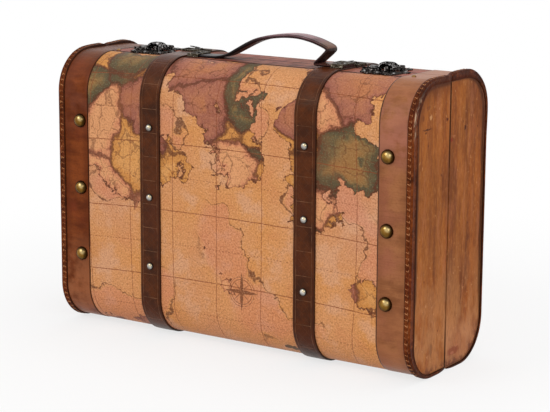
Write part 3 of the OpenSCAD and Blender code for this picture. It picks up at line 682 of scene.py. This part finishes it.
def bindingShape(sign, lipWide, fade, swell):
    # Stitched band on the long face, a rolled corner and a thinner lip on the end board
    high = binding["high"] + swell
    outer = binding["outer"]
    inner = binding["inner"]
    low = wood["skin"]
    roll = min(binding["roll"], lipWide / 2.6)
    rollEnd = high - 2 * roll
    lipLow = min(high - lipWide - swell, rollEnd - 0.4 * mm)
    band = high - binding["groove"] * 0.7
    lip = outer - 0.5 * mm
    fall = rollEnd - lipLow
    points = [(inner, low), (inner, band - 0.7 * mm), (inner + 0.25 * mm, band - 0.2 * mm),
              (inner + 0.8 * mm, band), (inner + 2.2 * mm, band + 0.1 * mm),
              (outer - 2 * roll - 0.6 * mm, band), (outer - 2 * roll - 0.15 * mm, band - 0.35 * mm),
              *arc(outer - roll, high - roll, roll, 165, -30, 10),
              (lip - 0.2 * mm, rollEnd - 0.1 * fall), (lip, rollEnd - 0.3 * fall), (lip, rollEnd - 0.8 * fall),
              (lip - 0.3 * mm, rollEnd - 0.95 * fall), (lip - 0.7 * mm, lipLow), (wood["end"], lipLow),
              (wood["end"], low)]
    # the ends of a binding are skived down towards the seam
    return [(sign * (wood["end"] + (x - wood["end"]) * fade if x > wood["end"] else x),
             low + (lift - low) * fade if lift > low else lift) for x, lift in points]


def bindingOutline(s, half, sign):
    ends = ((s - binding["bottomStop"], *binding["thinLow"]),
            (wayLength - binding["topStop"] - s, *binding["thinHigh"]))
    fade = min(left + (1 - left) * math.sin(math.pi / 2 * min(1, run / length)) for run, left, length in ends)
    ragged = waver(s, sign * 3 + len(half), binding["waver"])
    outline = bindingShape(sign, lipWidth(half, s) + ragged, fade, swellAt(half, sign, s))
    if s > lowEdge:
        return outline
    # by the bottom seam it is pared down, so the halves can open past each other
    room = wood["bottom"] - binding["hingeHeight"] + binding["pared"] * s
    return [(x, min(lift, room)) for x, lift in outline]


def makeBindings():
    stations = roundStations(binding["bottomStop"], wayLength - binding["topStop"], binding["step"])
    for half in halves:
        leathers = dict.fromkeys(hands, bindingFinish(half))
        dressEnds(half, "binding", stations, bindingOutline, leathers, numbered=True, sharp=60)


makeBindings()
print("bindings made")


# Metal, wood, plywood and lining
def metalFinish(name, slot, colour, worn, roughness, mottle=140, tarnish=(30, 26, 20), cover=0.5, foot=None):
    f = Finish(name, slot, metallic=1.0)
    patch = f.clouds(mottle, 5, 0.65)
    fine = f.clouds(mottle * 8, 3, 0.7)
    metal = f.mix(patch.smooth(0.4, 0.62), worn, colour).coated((1 - fine.smooth(0.35, 0.55)) * cover, tarnish)
    if foot:  # tarnish where a head meets the wall, painted shade on its lower side and a painted highlight on its crown
        raised = abs(f.parts(f.spot)[1]) - wood["depth"]
        x, y, z = f.facing()
        # painted shade on the side facing down; painted highlight on the crown towards the upper right
        under = (z + 0.4 * x).smooth(0.25, -0.55)
        crown = (0.42 * z + 0.42 * x + 0.8 * abs(y)).smooth(0.84, 0.99)
        metal = metal.coated(crown * 0.6, (232, 208, 148),
                             raised.smooth(foot[1], foot[0]).atLeast(under * 0.75) * 0.92, tarnish)
    return f.dressed(metal, fine * 0.03, roughness=roughness + (0.12 if foot else 0.25) * (1 - patch))


def embossedFinish(name, ground, glint, share, size, grazing):
    # Near-black plating over a pressed ornament whose high spots are rubbed bright and painted with glints
    f = Finish(name, "antique_bronze", metallic=1.0, specularTint=(grazing, grazing, grazing, 1))
    ornament = f.clouds(size, 2, 0.55)
    scroll = (ornament - 0.5).line(0.035)
    bright = ornament.smooth(0.61, 0.65).atLeast(scroll * 0.32) * share
    relief = ornament.smooth(0.42, 0.62) * 0.45
    return f.dressed(f.mix(bright, ground, glint), relief, roughness=0.38 - 0.2 * bright)


studPeak = -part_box("front_studs")[0].y - wood["depth"]
rivetPeak = -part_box("front_strap_rivets")[0].y - wood["depth"]
agedBrass = metalFinish("agedBrass", "aged_brass", (132, 92, 34), (164, 122, 54), 0.19, 90, (44, 28, 10), 0.3,
                        (studPeak - 2.9 * mm, studPeak - 0.4 * mm))
brightNickel = metalFinish("brightNickel", "nickel", (178, 172, 164), (216, 212, 206), 0.16,
                           tarnish=(34, 28, 24), cover=0.25, foot=(rivetPeak - 2.1 * mm, rivetPeak))
dullBrass = metalFinish("dullBrass", "aged_brass", (112, 80, 48), (150, 114, 72), 0.3)
blackPlating = embossedFinish("blackPlating", (15, 13, 13), (246, 242, 240), 0.95, 340, 0.3)
plateBlack = embossedFinish("plateBlack", (17, 14, 13), (206, 196, 190), 0.7, 300, 0.25)
antiqueBronze = embossedFinish("antiqueBronze", (56, 48, 38), (176, 164, 144), 0.7, 420, 0.6)
darkSteel = metalFinish("darkSteel", "dark_steel", (58, 56, 56), (150, 148, 146), 0.26, 300, cover=0.4)
hingeBrass = metalFinish("hingeBrass", "hinge_brass", (150, 124, 70), (184, 158, 100), 0.3)

# y, z, half width, half height in mm, screen colour and share
boardMarks = ((-29, 28, 2.4, 7.5, (124, 78, 48), 0.7), (-30, 29, 1.2, 5.0, (150, 98, 60), 0.8),
              (-16, 45, 0.9, 0.9, (90, 34, 22), 0.9), (-6, 256, 1.8, 2.0, (84, 26, 14), 0.95),
              (31, 244, 1.8, 2.6, (66, 22, 8), 1.0), (27, 250, 1.2, 1.4, (96, 42, 20), 0.7),
              (-46, 251, 9.0, 0.9, (78, 34, 16), 0.9), (-48, 248, 1.8, 1.3, (80, 38, 20), 0.8),
              (-39, 262, 2.2, 2.8, (204, 148, 98), 0.75), (-44, 272, 4.0, 2.2, (112, 52, 30), 0.5),
              (4, 235, 2.2, 2.4, (134, 44, 24), 0.9), (8, 238, 3.0, 1.4, (176, 110, 70), 0.6),
              (17, 17, 13.0, 4.5, (138, 66, 42), 0.75), (15, 15, 4.0, 1.4, (190, 118, 86), 0.6),
              (25, 21, 5.0, 1.2, (186, 118, 82), 0.6), (50, 160, 3.0, 24.0, (170, 104, 62), 0.35),
              (-35, 150, 3.5, 30.0, (124, 66, 30), 0.35))
board = {"shake": 5 * mm, "shakeMean": 2.5, "lowest": 1.5 * mm, "higher": 3.5 * mm, "frontHalf": 3.0 * mm,
         "frontLow": 4.0 * mm, "step": 3 * mm,
         # rings of the facing: past the end, back from the seam and below the plywood's face
         "facing": ((-0.4 * mm, 0, 0.1 * mm), (0.15 * mm, 0.25 * mm, 0.3 * mm), (0.2 * mm, 0.7 * mm, 0.4 * mm))}


def inwardOf(y, z):  # distance inwards from the rounded edge of the half
    middle = (wood["top"] + wood["bottom"]) / 2
    outY = abs(y) - wood["flat"]
    outZ = abs(z - middle) - (wood["top"] - middle - wood["bend"])
    overY = outY.atLeast(0)
    overZ = outZ.atLeast(0)
    return wood["bend"] - (overY * overY + overZ * overZ).root() - outY.atLeast(outZ).atMost(0)


def boardFinish():
    # Stained end boards: upright grain, knots, red-brown specks, a dark rim along the binding that is partly
    # stain and partly painted contact shadow, and a dark seam
    f = Finish("stainedBoard", "stained_board", specularIorLevel=0.1, specularTint=(1.0, 0.76, 0.56, 1))
    _, y, z = f.parts(f.spot)
    knots = f.cells(1, spot=f.vector("MULTIPLY", f.spot, (0, 13, 5.5)))
    core = knots.smooth(0.075, 0.02)
    rings = (y * 95 + f.grain((3, 26, 7)) * 7 + knots.smooth(0.26, 0.03) * 4.0) * 2
    stripes = f.maths("SINE", rings) * 0.5 + 0.5
    fibres = f.grain((40, 900, 26), 3, 0.65)
    pores = f.grain((40, 1500, 60), 2, 0.6).smooth(0.58, 0.68)
    blotch = f.grain((5, 22, 9), 4, 0.62)
    bands = f.grain((3, 60, 4), 2)
    broad = f.grain((3, 85, 13), 4, 0.62)
    low = z.smooth(0.15, 0.03) * f.grain((20, 48, 26), 3, 0.6).smooth(0.34, 0.56)
    foot = z.smooth(0.06, 0.025) * y.smooth(-0.004, 0.004) * y.smooth(0.075, 0.06)
    grain = f.grain((200, 420, 150), 3, 0.7)
    patches = f.clouds(30, 3, 0.6)
    fleck = f.grain((1, 330, 210), 2, 0.6).smooth(0.64, 0.7) * patches.smooth(0.46, 0.6)
    speck = f.cells(70).smooth(0.12, 0.05) * patches.smooth(0.52, 0.44)
    spots = f.cells(1, spot=f.vector("MULTIPLY", f.spot, (0, 30, 20)))
    base = f.mix(blotch.smooth(0.4, 0.58), (112, 52, 14), (158, 83, 28)).coated(
        f.grain((5, 30, 16), 3, 0.6).smooth(0.52, 0.7) * 0.6, (156, 88, 54),
        stripes * 0.26, (112, 58, 24),
        fibres.smooth(0.46, 0.62) * 0.22, (184, 114, 50),
        pores * 0.35, (92, 46, 20),
        core * 0.85, (80, 36, 16),
        bands.smooth(0.48, 0.6) * 0.45, (176, 104, 42),
        broad.smooth(0.53, 0.62) * (0.2 + 0.3 * z.smooth(0.06, 0.15)), (122, 62, 26),
        broad.smooth(0.46, 0.37) * 0.4, (176, 108, 70),
        low * 0.6, (190, 130, 82),
        foot * 0.35, (204, 142, 104),
        grain.smooth(0.5, 0.64) * 0.26, (96, 46, 18),
        grain.smooth(0.47, 0.35) * 0.2, (200, 138, 80),
        fleck * 0.6, (206, 148, 98),
        speck * 0.7, (88, 34, 16),
        spots.smooth(0.1, 0.04) * 0.6, (92, 38, 18))
    # old knots, knocks and pale scuffs, each soft and a little ragged
    _, markY, markZ = f.parts(f.shaken(240, 3, (0, board["shake"], board["shake"])))
    for across, up, halfWide, halfHigh, colour, share in boardMarks:
        sideways = (markY - (across + board["shakeMean"]) * mm) / (halfWide * mm)
        upwards = (markZ - (up + board["shakeMean"]) * mm) / (halfHigh * mm)
        base = base.coated((sideways * sideways + upwards * upwards).smooth(1.3, 0.4) * share, colour)
    inward = inwardOf(y, z)
    # the rim by the binding: part stain, part painted contact shadow beside the lip, wider on the front half
    onFront = y.smooth(0.001, -0.001) * (board["frontHalf"] + board["frontLow"] * z.smooth(0.265, 0.235))
    rimWide = board["lowest"] + z.smooth(0.03, 0.09) * (board["higher"] + onFront)
    rim = (inward - rimWide + blotch * 3 * mm).smooth(3.2 * mm, -0.6 * mm)
    upper = (inward + blotch * 14 * mm).smooth(34 * mm, 10 * mm) * z.smooth(0.2, 0.28)
    worn = (inward + blotch * 8 * mm).smooth(15 * mm, 7 * mm) * z.smooth(0.05, 0.02)
    seam = abs(y).smooth(2.2 * mm, 0.8 * mm) * (0.3 + 0.6 * z.smooth(0.19, 0.23).atLeast(z.smooth(0.06, 0.03)))
    return f.dressed(base.coated(
        rim * 0.75, (50, 22, 10),
        upper * (0.2 + 0.4 * y.smooth(0.002, -0.002)), (90, 42, 18),
        worn * f.clouds(120, 3, 0.6).smooth(0.44, 0.58) * 0.75, (98, 48, 34),
        seam, (52, 24, 12)),
        fibres * 0.1 + stripes * 0.05 + pores * -0.08 - core * 0.15, roughness=0.42 + 0.2 * fibres)


def plywoodFinish():
    f = Finish("plywood", roughness=0.6)
    x, _, z = f.parts(f.spot)
    fibres = f.grain((18, 420, 420), 3, 0.6)
    ply = z.offPitch(2.2 * mm).smooth(0.3 * mm, 0.7 * mm)
    return f.dressed(f.mix(fibres.smooth(0.35, 0.65), (186, 142, 96), (214, 176, 128)).coated(
        (1 - ply) * 0.25, (140, 98, 62),
        abs(x).smooth(wood["end"] - 5 * mm, wood["end"] - 3 * mm) * 0.9, (50, 24, 14)), fibres * 0.08)


def liningFinish():
    f = Finish("liningCloth", roughness=0.9, sheenWeight=0.2)
    x, y, z = f.parts(f.spot)
    pitch = 0.9 * mm
    weave = (x + y).offPitch(pitch) / (pitch / 2) * ((z + y).offPitch(pitch) / (pitch / 2))
    slub = f.grain((30, 600, 600), 3, 0.6)
    return f.dressed(f.mix(slub.smooth(0.35, 0.65), (150, 118, 84), (178, 146, 108)).coated(
        (1 - weave) * 0.35, (98, 72, 50)), weave * 0.12)


def threadFinish():
    f = Finish("stitchThread", "binding_leather", roughness=0.7, specularIorLevel=0.1)
    patch = f.clouds(200, 3, 0.6)
    return f.dressed(f.mix(patch.smooth(0.4, 0.6), (134, 72, 38), (200, 138, 90)), patch * 0.05)


def cover(node, finish):  # a CAD node that keeps its shape gets a better finish
    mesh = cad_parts[node].data
    mesh.materials.clear()
    mesh.materials.append(finish.material)


def makeFacings(finish):
    # The stained face of an end runs over the plywood's edge and out under the binding
    stations = roundStations(wood["seam"], wayLength - wood["seam"], board["step"])
    for half, side in halves.items():
        strands = [[[(sign * (wood["end"] + out), side * max(y, wood["seam"] + back), z)
                     for y, z in (roundSpot(s, -drop) for s in stations)]
                    for out, back, drop in board["facing"]] for sign in hands.values()]
        name = half + "EndFacings"
        finishPiece(name, skinMesh(name, strands), finish, half + "_half", sharp=20)


def dressWood():
    stainedBoard = boardFinish()
    plywood = plywoodFinish()
    liningCloth = liningFinish()
    for half in halves:
        cover(half + "_shell", plywood)
        cover(half + "_lining", liningCloth)
        for hand in hands:
            cover(f"{half}_end_board_{hand}", stainedBoard)
    makeFacings(stainedBoard)


dressWood()
print("wood and lining dressed")

# Body, finish and broken edge of the hardware; a part without a body given is one itself
hardware = {"lock_plate": ("front_half", plateBlack, 0.25 * mm),
            "handle_bracket": ("front_half", antiqueBronze, 0.25 * mm),
            "hasp_plate": ("back_half", plateBlack, 0.25 * mm), "hasp": (None, blackPlating, 0.35 * mm),
            "slide": (None, darkSteel, 0.3 * mm), "buckle_frame": ("back_half", antiqueBronze, 0.4 * mm),
            "prong": (None, darkSteel, 0.25 * mm)}
softening = {"leafEdge": 0.15 * mm, "flat": math.radians(1), "weld": 1e-6,
             "bevel": {"segments": 2, "limit_method": "ANGLE", "angle_limit": math.radians(35),
                       "use_clamp_overlap": True}}


def welded(mesh):
    shape = bmesh.new()
    shape.from_mesh(mesh)
    bmesh.ops.remove_doubles(shape, verts=shape.verts, dist=softening["weld"])
    return shape


def resultOf(work, name):
    # What the modifiers of a working object make, as a plain mesh; the object itself goes
    mesh = bpy.data.meshes.new_from_object(work.evaluated_get(bpy.context.evaluated_depsgraph_get()))
    work.modifiers.clear()
    bpy.data.objects.remove(work)
    mesh.name = name
    return mesh


def soften(node, body, finish, width):
    # A copy of a CAD node with its edges broken, as cast and pressed metal has
    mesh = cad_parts[node].data.copy()
    shape = welded(mesh)
    bmesh.ops.dissolve_limit(shape, angle_limit=softening["flat"], verts=shape.verts, edges=shape.edges)
    bmesh.ops.recalc_face_normals(shape, faces=shape.faces)
    shape.to_mesh(mesh)
    shape.free()
    while mesh.uv_layers:
        mesh.uv_layers.remove(mesh.uv_layers[0])
    name = camel(node)
    work = linked(name + "Work", mesh)
    bevel = work.modifiers.new("edges", "BEVEL")
    for key, value in {**softening["bevel"], "width": width}.items():
        setattr(bevel, key, value)
    finishPiece(name, resultOf(work, name), finish, body, [node], sharp=50)


def dressHardware():
    for hand in hands:
        for half in halves:
            soften(f"{half}_hinge_leaf_{hand}", half + "_half", hingeBrass, softening["leafEdge"])
        for part, (body, finish, width) in hardware.items():
            node = f"{part}_{hand}"
            soften(node, body or node, finish, width)
    for node in ("hinge_pins", "hasp_pins", "buckle_bars"):
        cover(node, darkSteel)


dressHardware()
print("hardware dressed")


def solidsOf(node):
    # Lowest and highest corner of every separate solid of a CAD node
    shape = welded(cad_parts[node].data)
    left = set(shape.verts)
    boxes = []
    while left:
        group = [left.pop()]
        for vert in group:
            found = {edge.other_vert(vert) for edge in vert.link_edges} & left
            left -= found
            group += found
        boxes.append([Vector(extreme(v.co[k] for v in group) for k in range(3)) for extreme in (min, max)])
    shape.free()
    return sorted(boxes, key=lambda box: (round(box[0].x, 4), round(box[0].z, 4), round(box[0].y, 4)))


class Recipe(Tree):
    # A Geometry Nodes tree with named inputs, which puts a small body on points
    def __init__(self, name, **inputs):
        self.group = bpy.data.node_groups.new(name, "GeometryNodeTree")
        super().__init__(self.group)
        new = self.group.interface.new_socket
        self.keys = {key: new(key, in_out="INPUT", socket_type="NodeSocket" + kind).identifier
                     for key, kind in {"points": "Geometry", **inputs, "material": "Material"}.items()}
        new("copies", in_out="OUTPUT", socket_type="NodeSocketGeometry")
        self.start = self.add("NodeGroupInput").socket.node

    def given(self, name):
        return Wire(self, self.start.outputs[name])

    def ball(self, segments, rings, radius):
        return self.add("GeometryNodeMeshUVSphere", {"Segments": segments, "Rings": rings, "Radius": radius})

    def joined(self, x, y, z):
        return self.add("ShaderNodeCombineXYZ", {"X": x, "Y": y, "Z": z})

    def close(self, points, body, upright, turn, *size):
        smooth = self.add("GeometryNodeSetShadeSmooth", {"Geometry": body, "Shade Smooth": True})
        turned = self.add("FunctionNodeRotateRotation", {0: upright, 1: turn}, rotation_space="LOCAL")
        copies = self.add("GeometryNodeInstanceOnPoints", {"Points": points, "Instance": smooth,
                                                           "Rotation": turned, "Scale": self.joined(*size)})
        real = self.add("GeometryNodeRealizeInstances", {"Geometry": copies})
        painted = self.add("GeometryNodeSetMaterial", {"Geometry": real, "Material": self.given("material")})
        self.add("NodeGroupOutput", {0: painted})

    def grow(self, name, mesh, finish, **values):
        # Runs the tree on a mesh and returns the result as a plain mesh
        work = linked(name + "Work", mesh)
        modifier = work.modifiers.new("recipe", "NODES")
        modifier.node_group = self.group
        for key, value in {**values, "material": finish.material}.items():
            modifier[self.keys[key]] = value
        return resultOf(work, name)


# Rows of heads: studs, rivets, screws and pins, each row set on the spots of its CAD node.
# Radius and height of each kind; the ball that a head is made of, and how much of its lower half is left
heads = {"stud": (7.5 * mm, 6 * mm), "rivet": (4 * mm, 3.2 * mm), "screw": (2.2 * mm, 0.75 * mm),
         "pin": (1.8 * mm, 1.2 * mm), "tack": (2.4 * mm, 1.9 * mm), "ball": (28, 16, 1.0), "foot": -0.06,
         "askew": 0.04, "tackDepth": -25 * mm, "tackSpots": (-176 * mm, 191 * mm)}


def headRecipe():
    # A domed head on every point, turned to face outwards, each a little askew
    r = Recipe("headRow", radius="Float", height="Float", facing="Vector", askew="Float", seed="Int")
    x, y, z = r.parts(r.add("GeometryNodeInputPosition"))
    domed = r.add("GeometryNodeSetPosition", {"Geometry": r.ball(*heads["ball"]),
                                              "Position": r.joined(x, y, z.atLeast(heads["foot"]))})
    upright = r.add("FunctionNodeAlignRotationToVector", {"Vector": r.given("facing")}, axis="Z")
    lean = r.add("FunctionNodeRandomValue", {"Min": (-1, -1, -3), "Max": (1, 1, 3), "Seed": r.given("seed")},
                 data_type="FLOAT_VECTOR")
    scaled = r.add("ShaderNodeVectorMath", {0: lean, "Scale": r.given("askew")}, operation="SCALE")
    r.close(r.given("points"), domed, upright, r.add("FunctionNodeEulerToRotation", {0: scaled}),
            r.given("radius"), r.given("radius"), r.given("height"))
    return r


headRow = headRecipe()


def makeHeads(name, spots, kind, facing, finish, body, seed, replaced=()):
    points = bpy.data.meshes.new(name + "Spots")
    points.from_pydata(spots, [], [])
    radius, height = heads[kind]
    mesh = headRow.grow(name, points, finish, radius=radius, height=height, facing=facing,
                        askew=heads["askew"], seed=seed)
    finishPiece(name, mesh, finish, body, replaced, sharp=60)


def makeRow(node, kind, facing, finish, body, seed):
    # A head on every solid of a CAD node, its top where the solid is outermost
    spots = []
    for low, high in solidsOf(node):
        spot = (low + high) / 2
        for k, way in enumerate(facing):
            if way:
                spot[k] = (high if way > 0 else low)[k] - way * heads[kind][1]
        spots.append(tuple(spot))
    makeHeads(camel(node), spots, kind, facing, finish, body, seed, [node])


def makeFastenings():
    up = (0, 0, 1)
    down = (0, 0, -1)
    for half, side in halves.items():
        body = half + "_half"
        makeRow(half + "_studs", "stud", (0, side, 0), agedBrass, body, 3)
        makeRow(half + "_strap_rivets", "rivet", (0, side, 0), brightNickel, body, 3)
        makeRow(half + "_hinge_screws", "screw", down, hingeBrass, body, 5)
    # a tack holds down each end of the front half's top strip
    tacks = [(x, heads["tackDepth"], wood["top"] + strip["endThick"]) for x in heads["tackSpots"]]
    makeHeads("frontTacks", tacks, "tack", up, dullBrass, "front_half", 9)
    makeRow("lock_plate_pins", "pin", up, darkSteel, "front_half", 7)
    makeRow("handle_bracket_pins", "pin", up, darkSteel, "front_half", 7)
    makeRow("hasp_plate_pins", "pin", up, darkSteel, "back_half", 7)


makeFastenings()
print("studs, rivets, screws and pins made")


# Stitches along the bindings: inset of each row from the band's edge, and the measures of its stitches
stitch = {"pitch": 6 * mm, "clear": 7.5 * mm, "proud": 0.1 * mm, "step": 1.5 * mm, "ball": (8, 6, 0.5),
          "rows": {"Ticks": (2.7 * mm, {"length": 3.6 * mm, "thickness": 0.75 * mm, "slant": 1.18}),
                   "Runs": (4.5 * mm, {"length": 3.4 * mm, "thickness": 0.6 * mm, "slant": 0.0})}}


def stitchRecipe():
    # A slanted stitch at every pitch along a line, lying on the surface that the line follows
    r = Recipe("stitchLine", pitch="Float", length="Float", thickness="Float", slant="Float")
    line = r.add("GeometryNodeMeshToCurve", {"Mesh": r.given("points")})
    even = r.add("GeometryNodeResampleCurve", {"Curve": line, "Length": r.given("pitch")}, mode="LENGTH")
    outward = r.add("GeometryNodeInputNamedAttribute", {"Name": "outward"}, data_type="FLOAT_VECTOR")
    lying = r.add("FunctionNodeAxesToRotation",
                  {"Primary Axis": outward, "Secondary Axis": r.add("GeometryNodeInputTangent")},
                  primary_axis="Z", secondary_axis="X")
    slant = r.add("FunctionNodeAxisAngleToRotation", {"Axis": (0, 0, 1), "Angle": r.given("slant")})
    r.close(even, r.ball(*stitch["ball"]), lying, slant,
            r.given("length"), r.given("thickness"), r.given("thickness"))
    return r


stitchLine = stitchRecipe()


def stitchPath(half, sign, inset):  # corners of a row's line and the way out from each
    lift = binding["high"] - binding["groove"] * 0.7 + stitch["proud"]
    side = halves[half]
    for s in roundStations(stitch["clear"], wayLength - stitch["clear"], stitch["step"]):
        raised = lift + swellAt(half, sign, s)
        y, z = roundSpot(s, raised)
        y0, z0 = roundSpot(s, 0)
        yield (sign * (binding["inner"] + inset), side * y, z), (0, side * (y - y0) / raised, (z - z0) / raised)


def makeStitches():
    # Slanted ticks across the band, and a run of thread along their outer ends
    thread = threadFinish()
    for half in halves:
        for row, (inset, sizes) in stitch["rows"].items():
            paths = [list(stitchPath(half, sign, inset)) for sign in hands.values()]
            corners, outwards = zip(*paths[0], *paths[1])
            edges = [(k, k + 1) for k in range(len(corners) - 1) if k + 1 != len(paths[0])]
            mesh = bpy.data.meshes.new(half + row + "Line")
            mesh.from_pydata(corners, edges, [])
            attribute = mesh.attributes.new("outward", "FLOAT_VECTOR", "POINT")
            attribute.data.foreach_set("vector", [part for outward in outwards for part in outward])
            name = half + "Stitch" + row
            stitches = stitchLine.grow(name, mesh, thread, pitch=stitch["pitch"], **sizes)
            finishPiece(name, stitches, thread, half + "_half", sharp=80)


makeStitches()
print("stitches made")

# Handle: one leather strap through both flat ends and the grip
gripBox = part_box("handle_grip")
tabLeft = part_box("handle_tab_left")
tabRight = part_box("handle_tab_right")
handle = {"middle": (gripBox[0].y + gripBox[1].y) / 2, "width": gripBox[1].y - gripBox[0].y - 0.6 * mm,
          "thick": 2.7 * mm, "thickPeak": 4.0 * mm, "peakRise": 15 * mm, "blend": 7 * mm, "crown": 0.12,
          "sheen": (0.92, 0.86, 0.92, 1),
          # middle line over the grip: x, and the rise over the left end's underside, in mm
          "arch": ((-34, 5.2), (-22, 11.2), (-9, 18.0), (4, 23.5), (20, 27.2), (37, 29.3), (54, 29.3), (70, 26.6),
                   (81, 23.2), (87.2, 20.6), (88.6, 18.0), (86.6, 15.3), (81.5, 10.6), (76.5, 6.3), (74.6, 4.4)),
          # the same for its flat ends, over their own middle
          "left": ((-66, 0), (-53, 0.1), (-44, 1.2)), "right": ((75.5, 0.15), (79, 0), (92, 0))}


def handleFinish():
    f = leatherFinish("handleLeather", "strap_leather", 0.34, 0.13, handle["sheen"])
    x, _, z = f.parts(f.spot)
    u = f.along()[0]
    facing = f.facing()[2]
    colour, height = hide(f, leather["handle"], (60, 60, 1), 0.12)
    blotch = f.clouds(60, 4, 0.6).smooth(0.34, 0.6)
    foot = z.smooth(wood["top"] + 7 * mm, wood["top"] + 4 * mm) * x.smooth(60 * mm, 70 * mm)
    rim = handle["width"] / 2
    cut = abs(u).smooth(rim - 3.0 * mm, rim - 1.6 * mm) * facing.smooth(0.5, 0.8)
    return f.dressed(colour.coated(
        # painted sheen: a pale lilac highlight along the top of the arch
        x.smooth(-2 * mm, 22 * mm) * x.smooth(74 * mm, 58 * mm) * (0.45 + 0.45 * blotch), (170, 128, 134),
        x.smooth(76 * mm, 84 * mm) * 0.55, (118, 88, 62),
        foot * 0.8, (104, 44, 26),
        # dark cut edges on top, and painted shade on the sides and underside
        cut.atLeast(facing.smooth(0.62, 0.2)) * 0.9, (30, 15, 14),
        x.smooth(14 * mm, -14 * mm) * 0.94, (24, 20, 20)), height)


def handlePath():
    # Middle line of the strap in x and z, chosen on the photographed side view
    leftZ, rightZ = ((low.z + high.z) / 2 for low, high in (tabLeft, tabRight))
    parts = (("left", leftZ), ("arch", tabLeft[0].z), ("right", rightZ))
    line = [(x * mm, base + rise * mm) for part, base in parts for x, rise in handle[part]]
    return [(tabLeft[0].x, leftZ), *line, (tabRight[1].x, rightZ)]


def rounded(points, steps):  # Catmull-Rom line through the points
    line = []
    ends = [points[0], *points, points[-1]]
    for a, b, c, d in zip(ends, ends[1:], ends[2:], ends[3:]):
        for step in range(steps):
            t = step / steps
            line.append(tuple(0.5 * (2 * b[i] + (c[i] - a[i]) * t
                                     + (2 * a[i] - 5 * b[i] + 4 * c[i] - d[i]) * t * t
                                     + (3 * b[i] - a[i] - 3 * c[i] + d[i]) * t ** 3) for i in range(2)))
    return line + [points[-1]]


def strapRing(width, thick, count):
    # Cross-section of a rolled strap: flat below, crowned above, with round edges
    edge = thick / 2
    reach = width / 2 - edge
    row = [2 * k / (count - 1) - 1 for k in range(count)]
    return [*((reach * t, edge * (1 - handle["crown"] * t ** 2)) for t in row), *arc(reach, 0, edge, 60, -60),
            *((reach * t, -edge) for t in reversed(row)), *arc(-reach, 0, edge, 240, 120)]


def makeHandle():
    path = rounded(handlePath(), 5)
    rings = []
    marks = []
    length = 0.0
    for k, (x, z) in enumerate(path):
        before = path[max(k - 1, 0)]
        after = path[min(k + 1, len(path) - 1)]
        length += math.dist(before, (x, z))
        run = Vector((after[0] - before[0], after[1] - before[1])).normalized()
        peak = max(0.0, min(1.0, (z - tabLeft[1].z) / handle["peakRise"]))
        thick = handle["thick"] + (handle["thickPeak"] - handle["thick"]) * peak
        outline = strapRing(handle["width"] + waver(length, 3, 0.3 * mm), thick, 10)
        rings.append([(x - run.y * up, handle["middle"] + across, z + run.x * up) for across, up in outline])
        marks += [(across, length) for across, _ in outline]
    mesh = skinMesh("handleStrap", [rings], marks)
    piece = finishPiece("handleStrap", mesh, handleFinish(), None,
                        ["handle_grip", "handle_tab_left", "handle_tab_right"], sharp=60)
    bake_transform(piece)


makeHandle()
print("handle made")
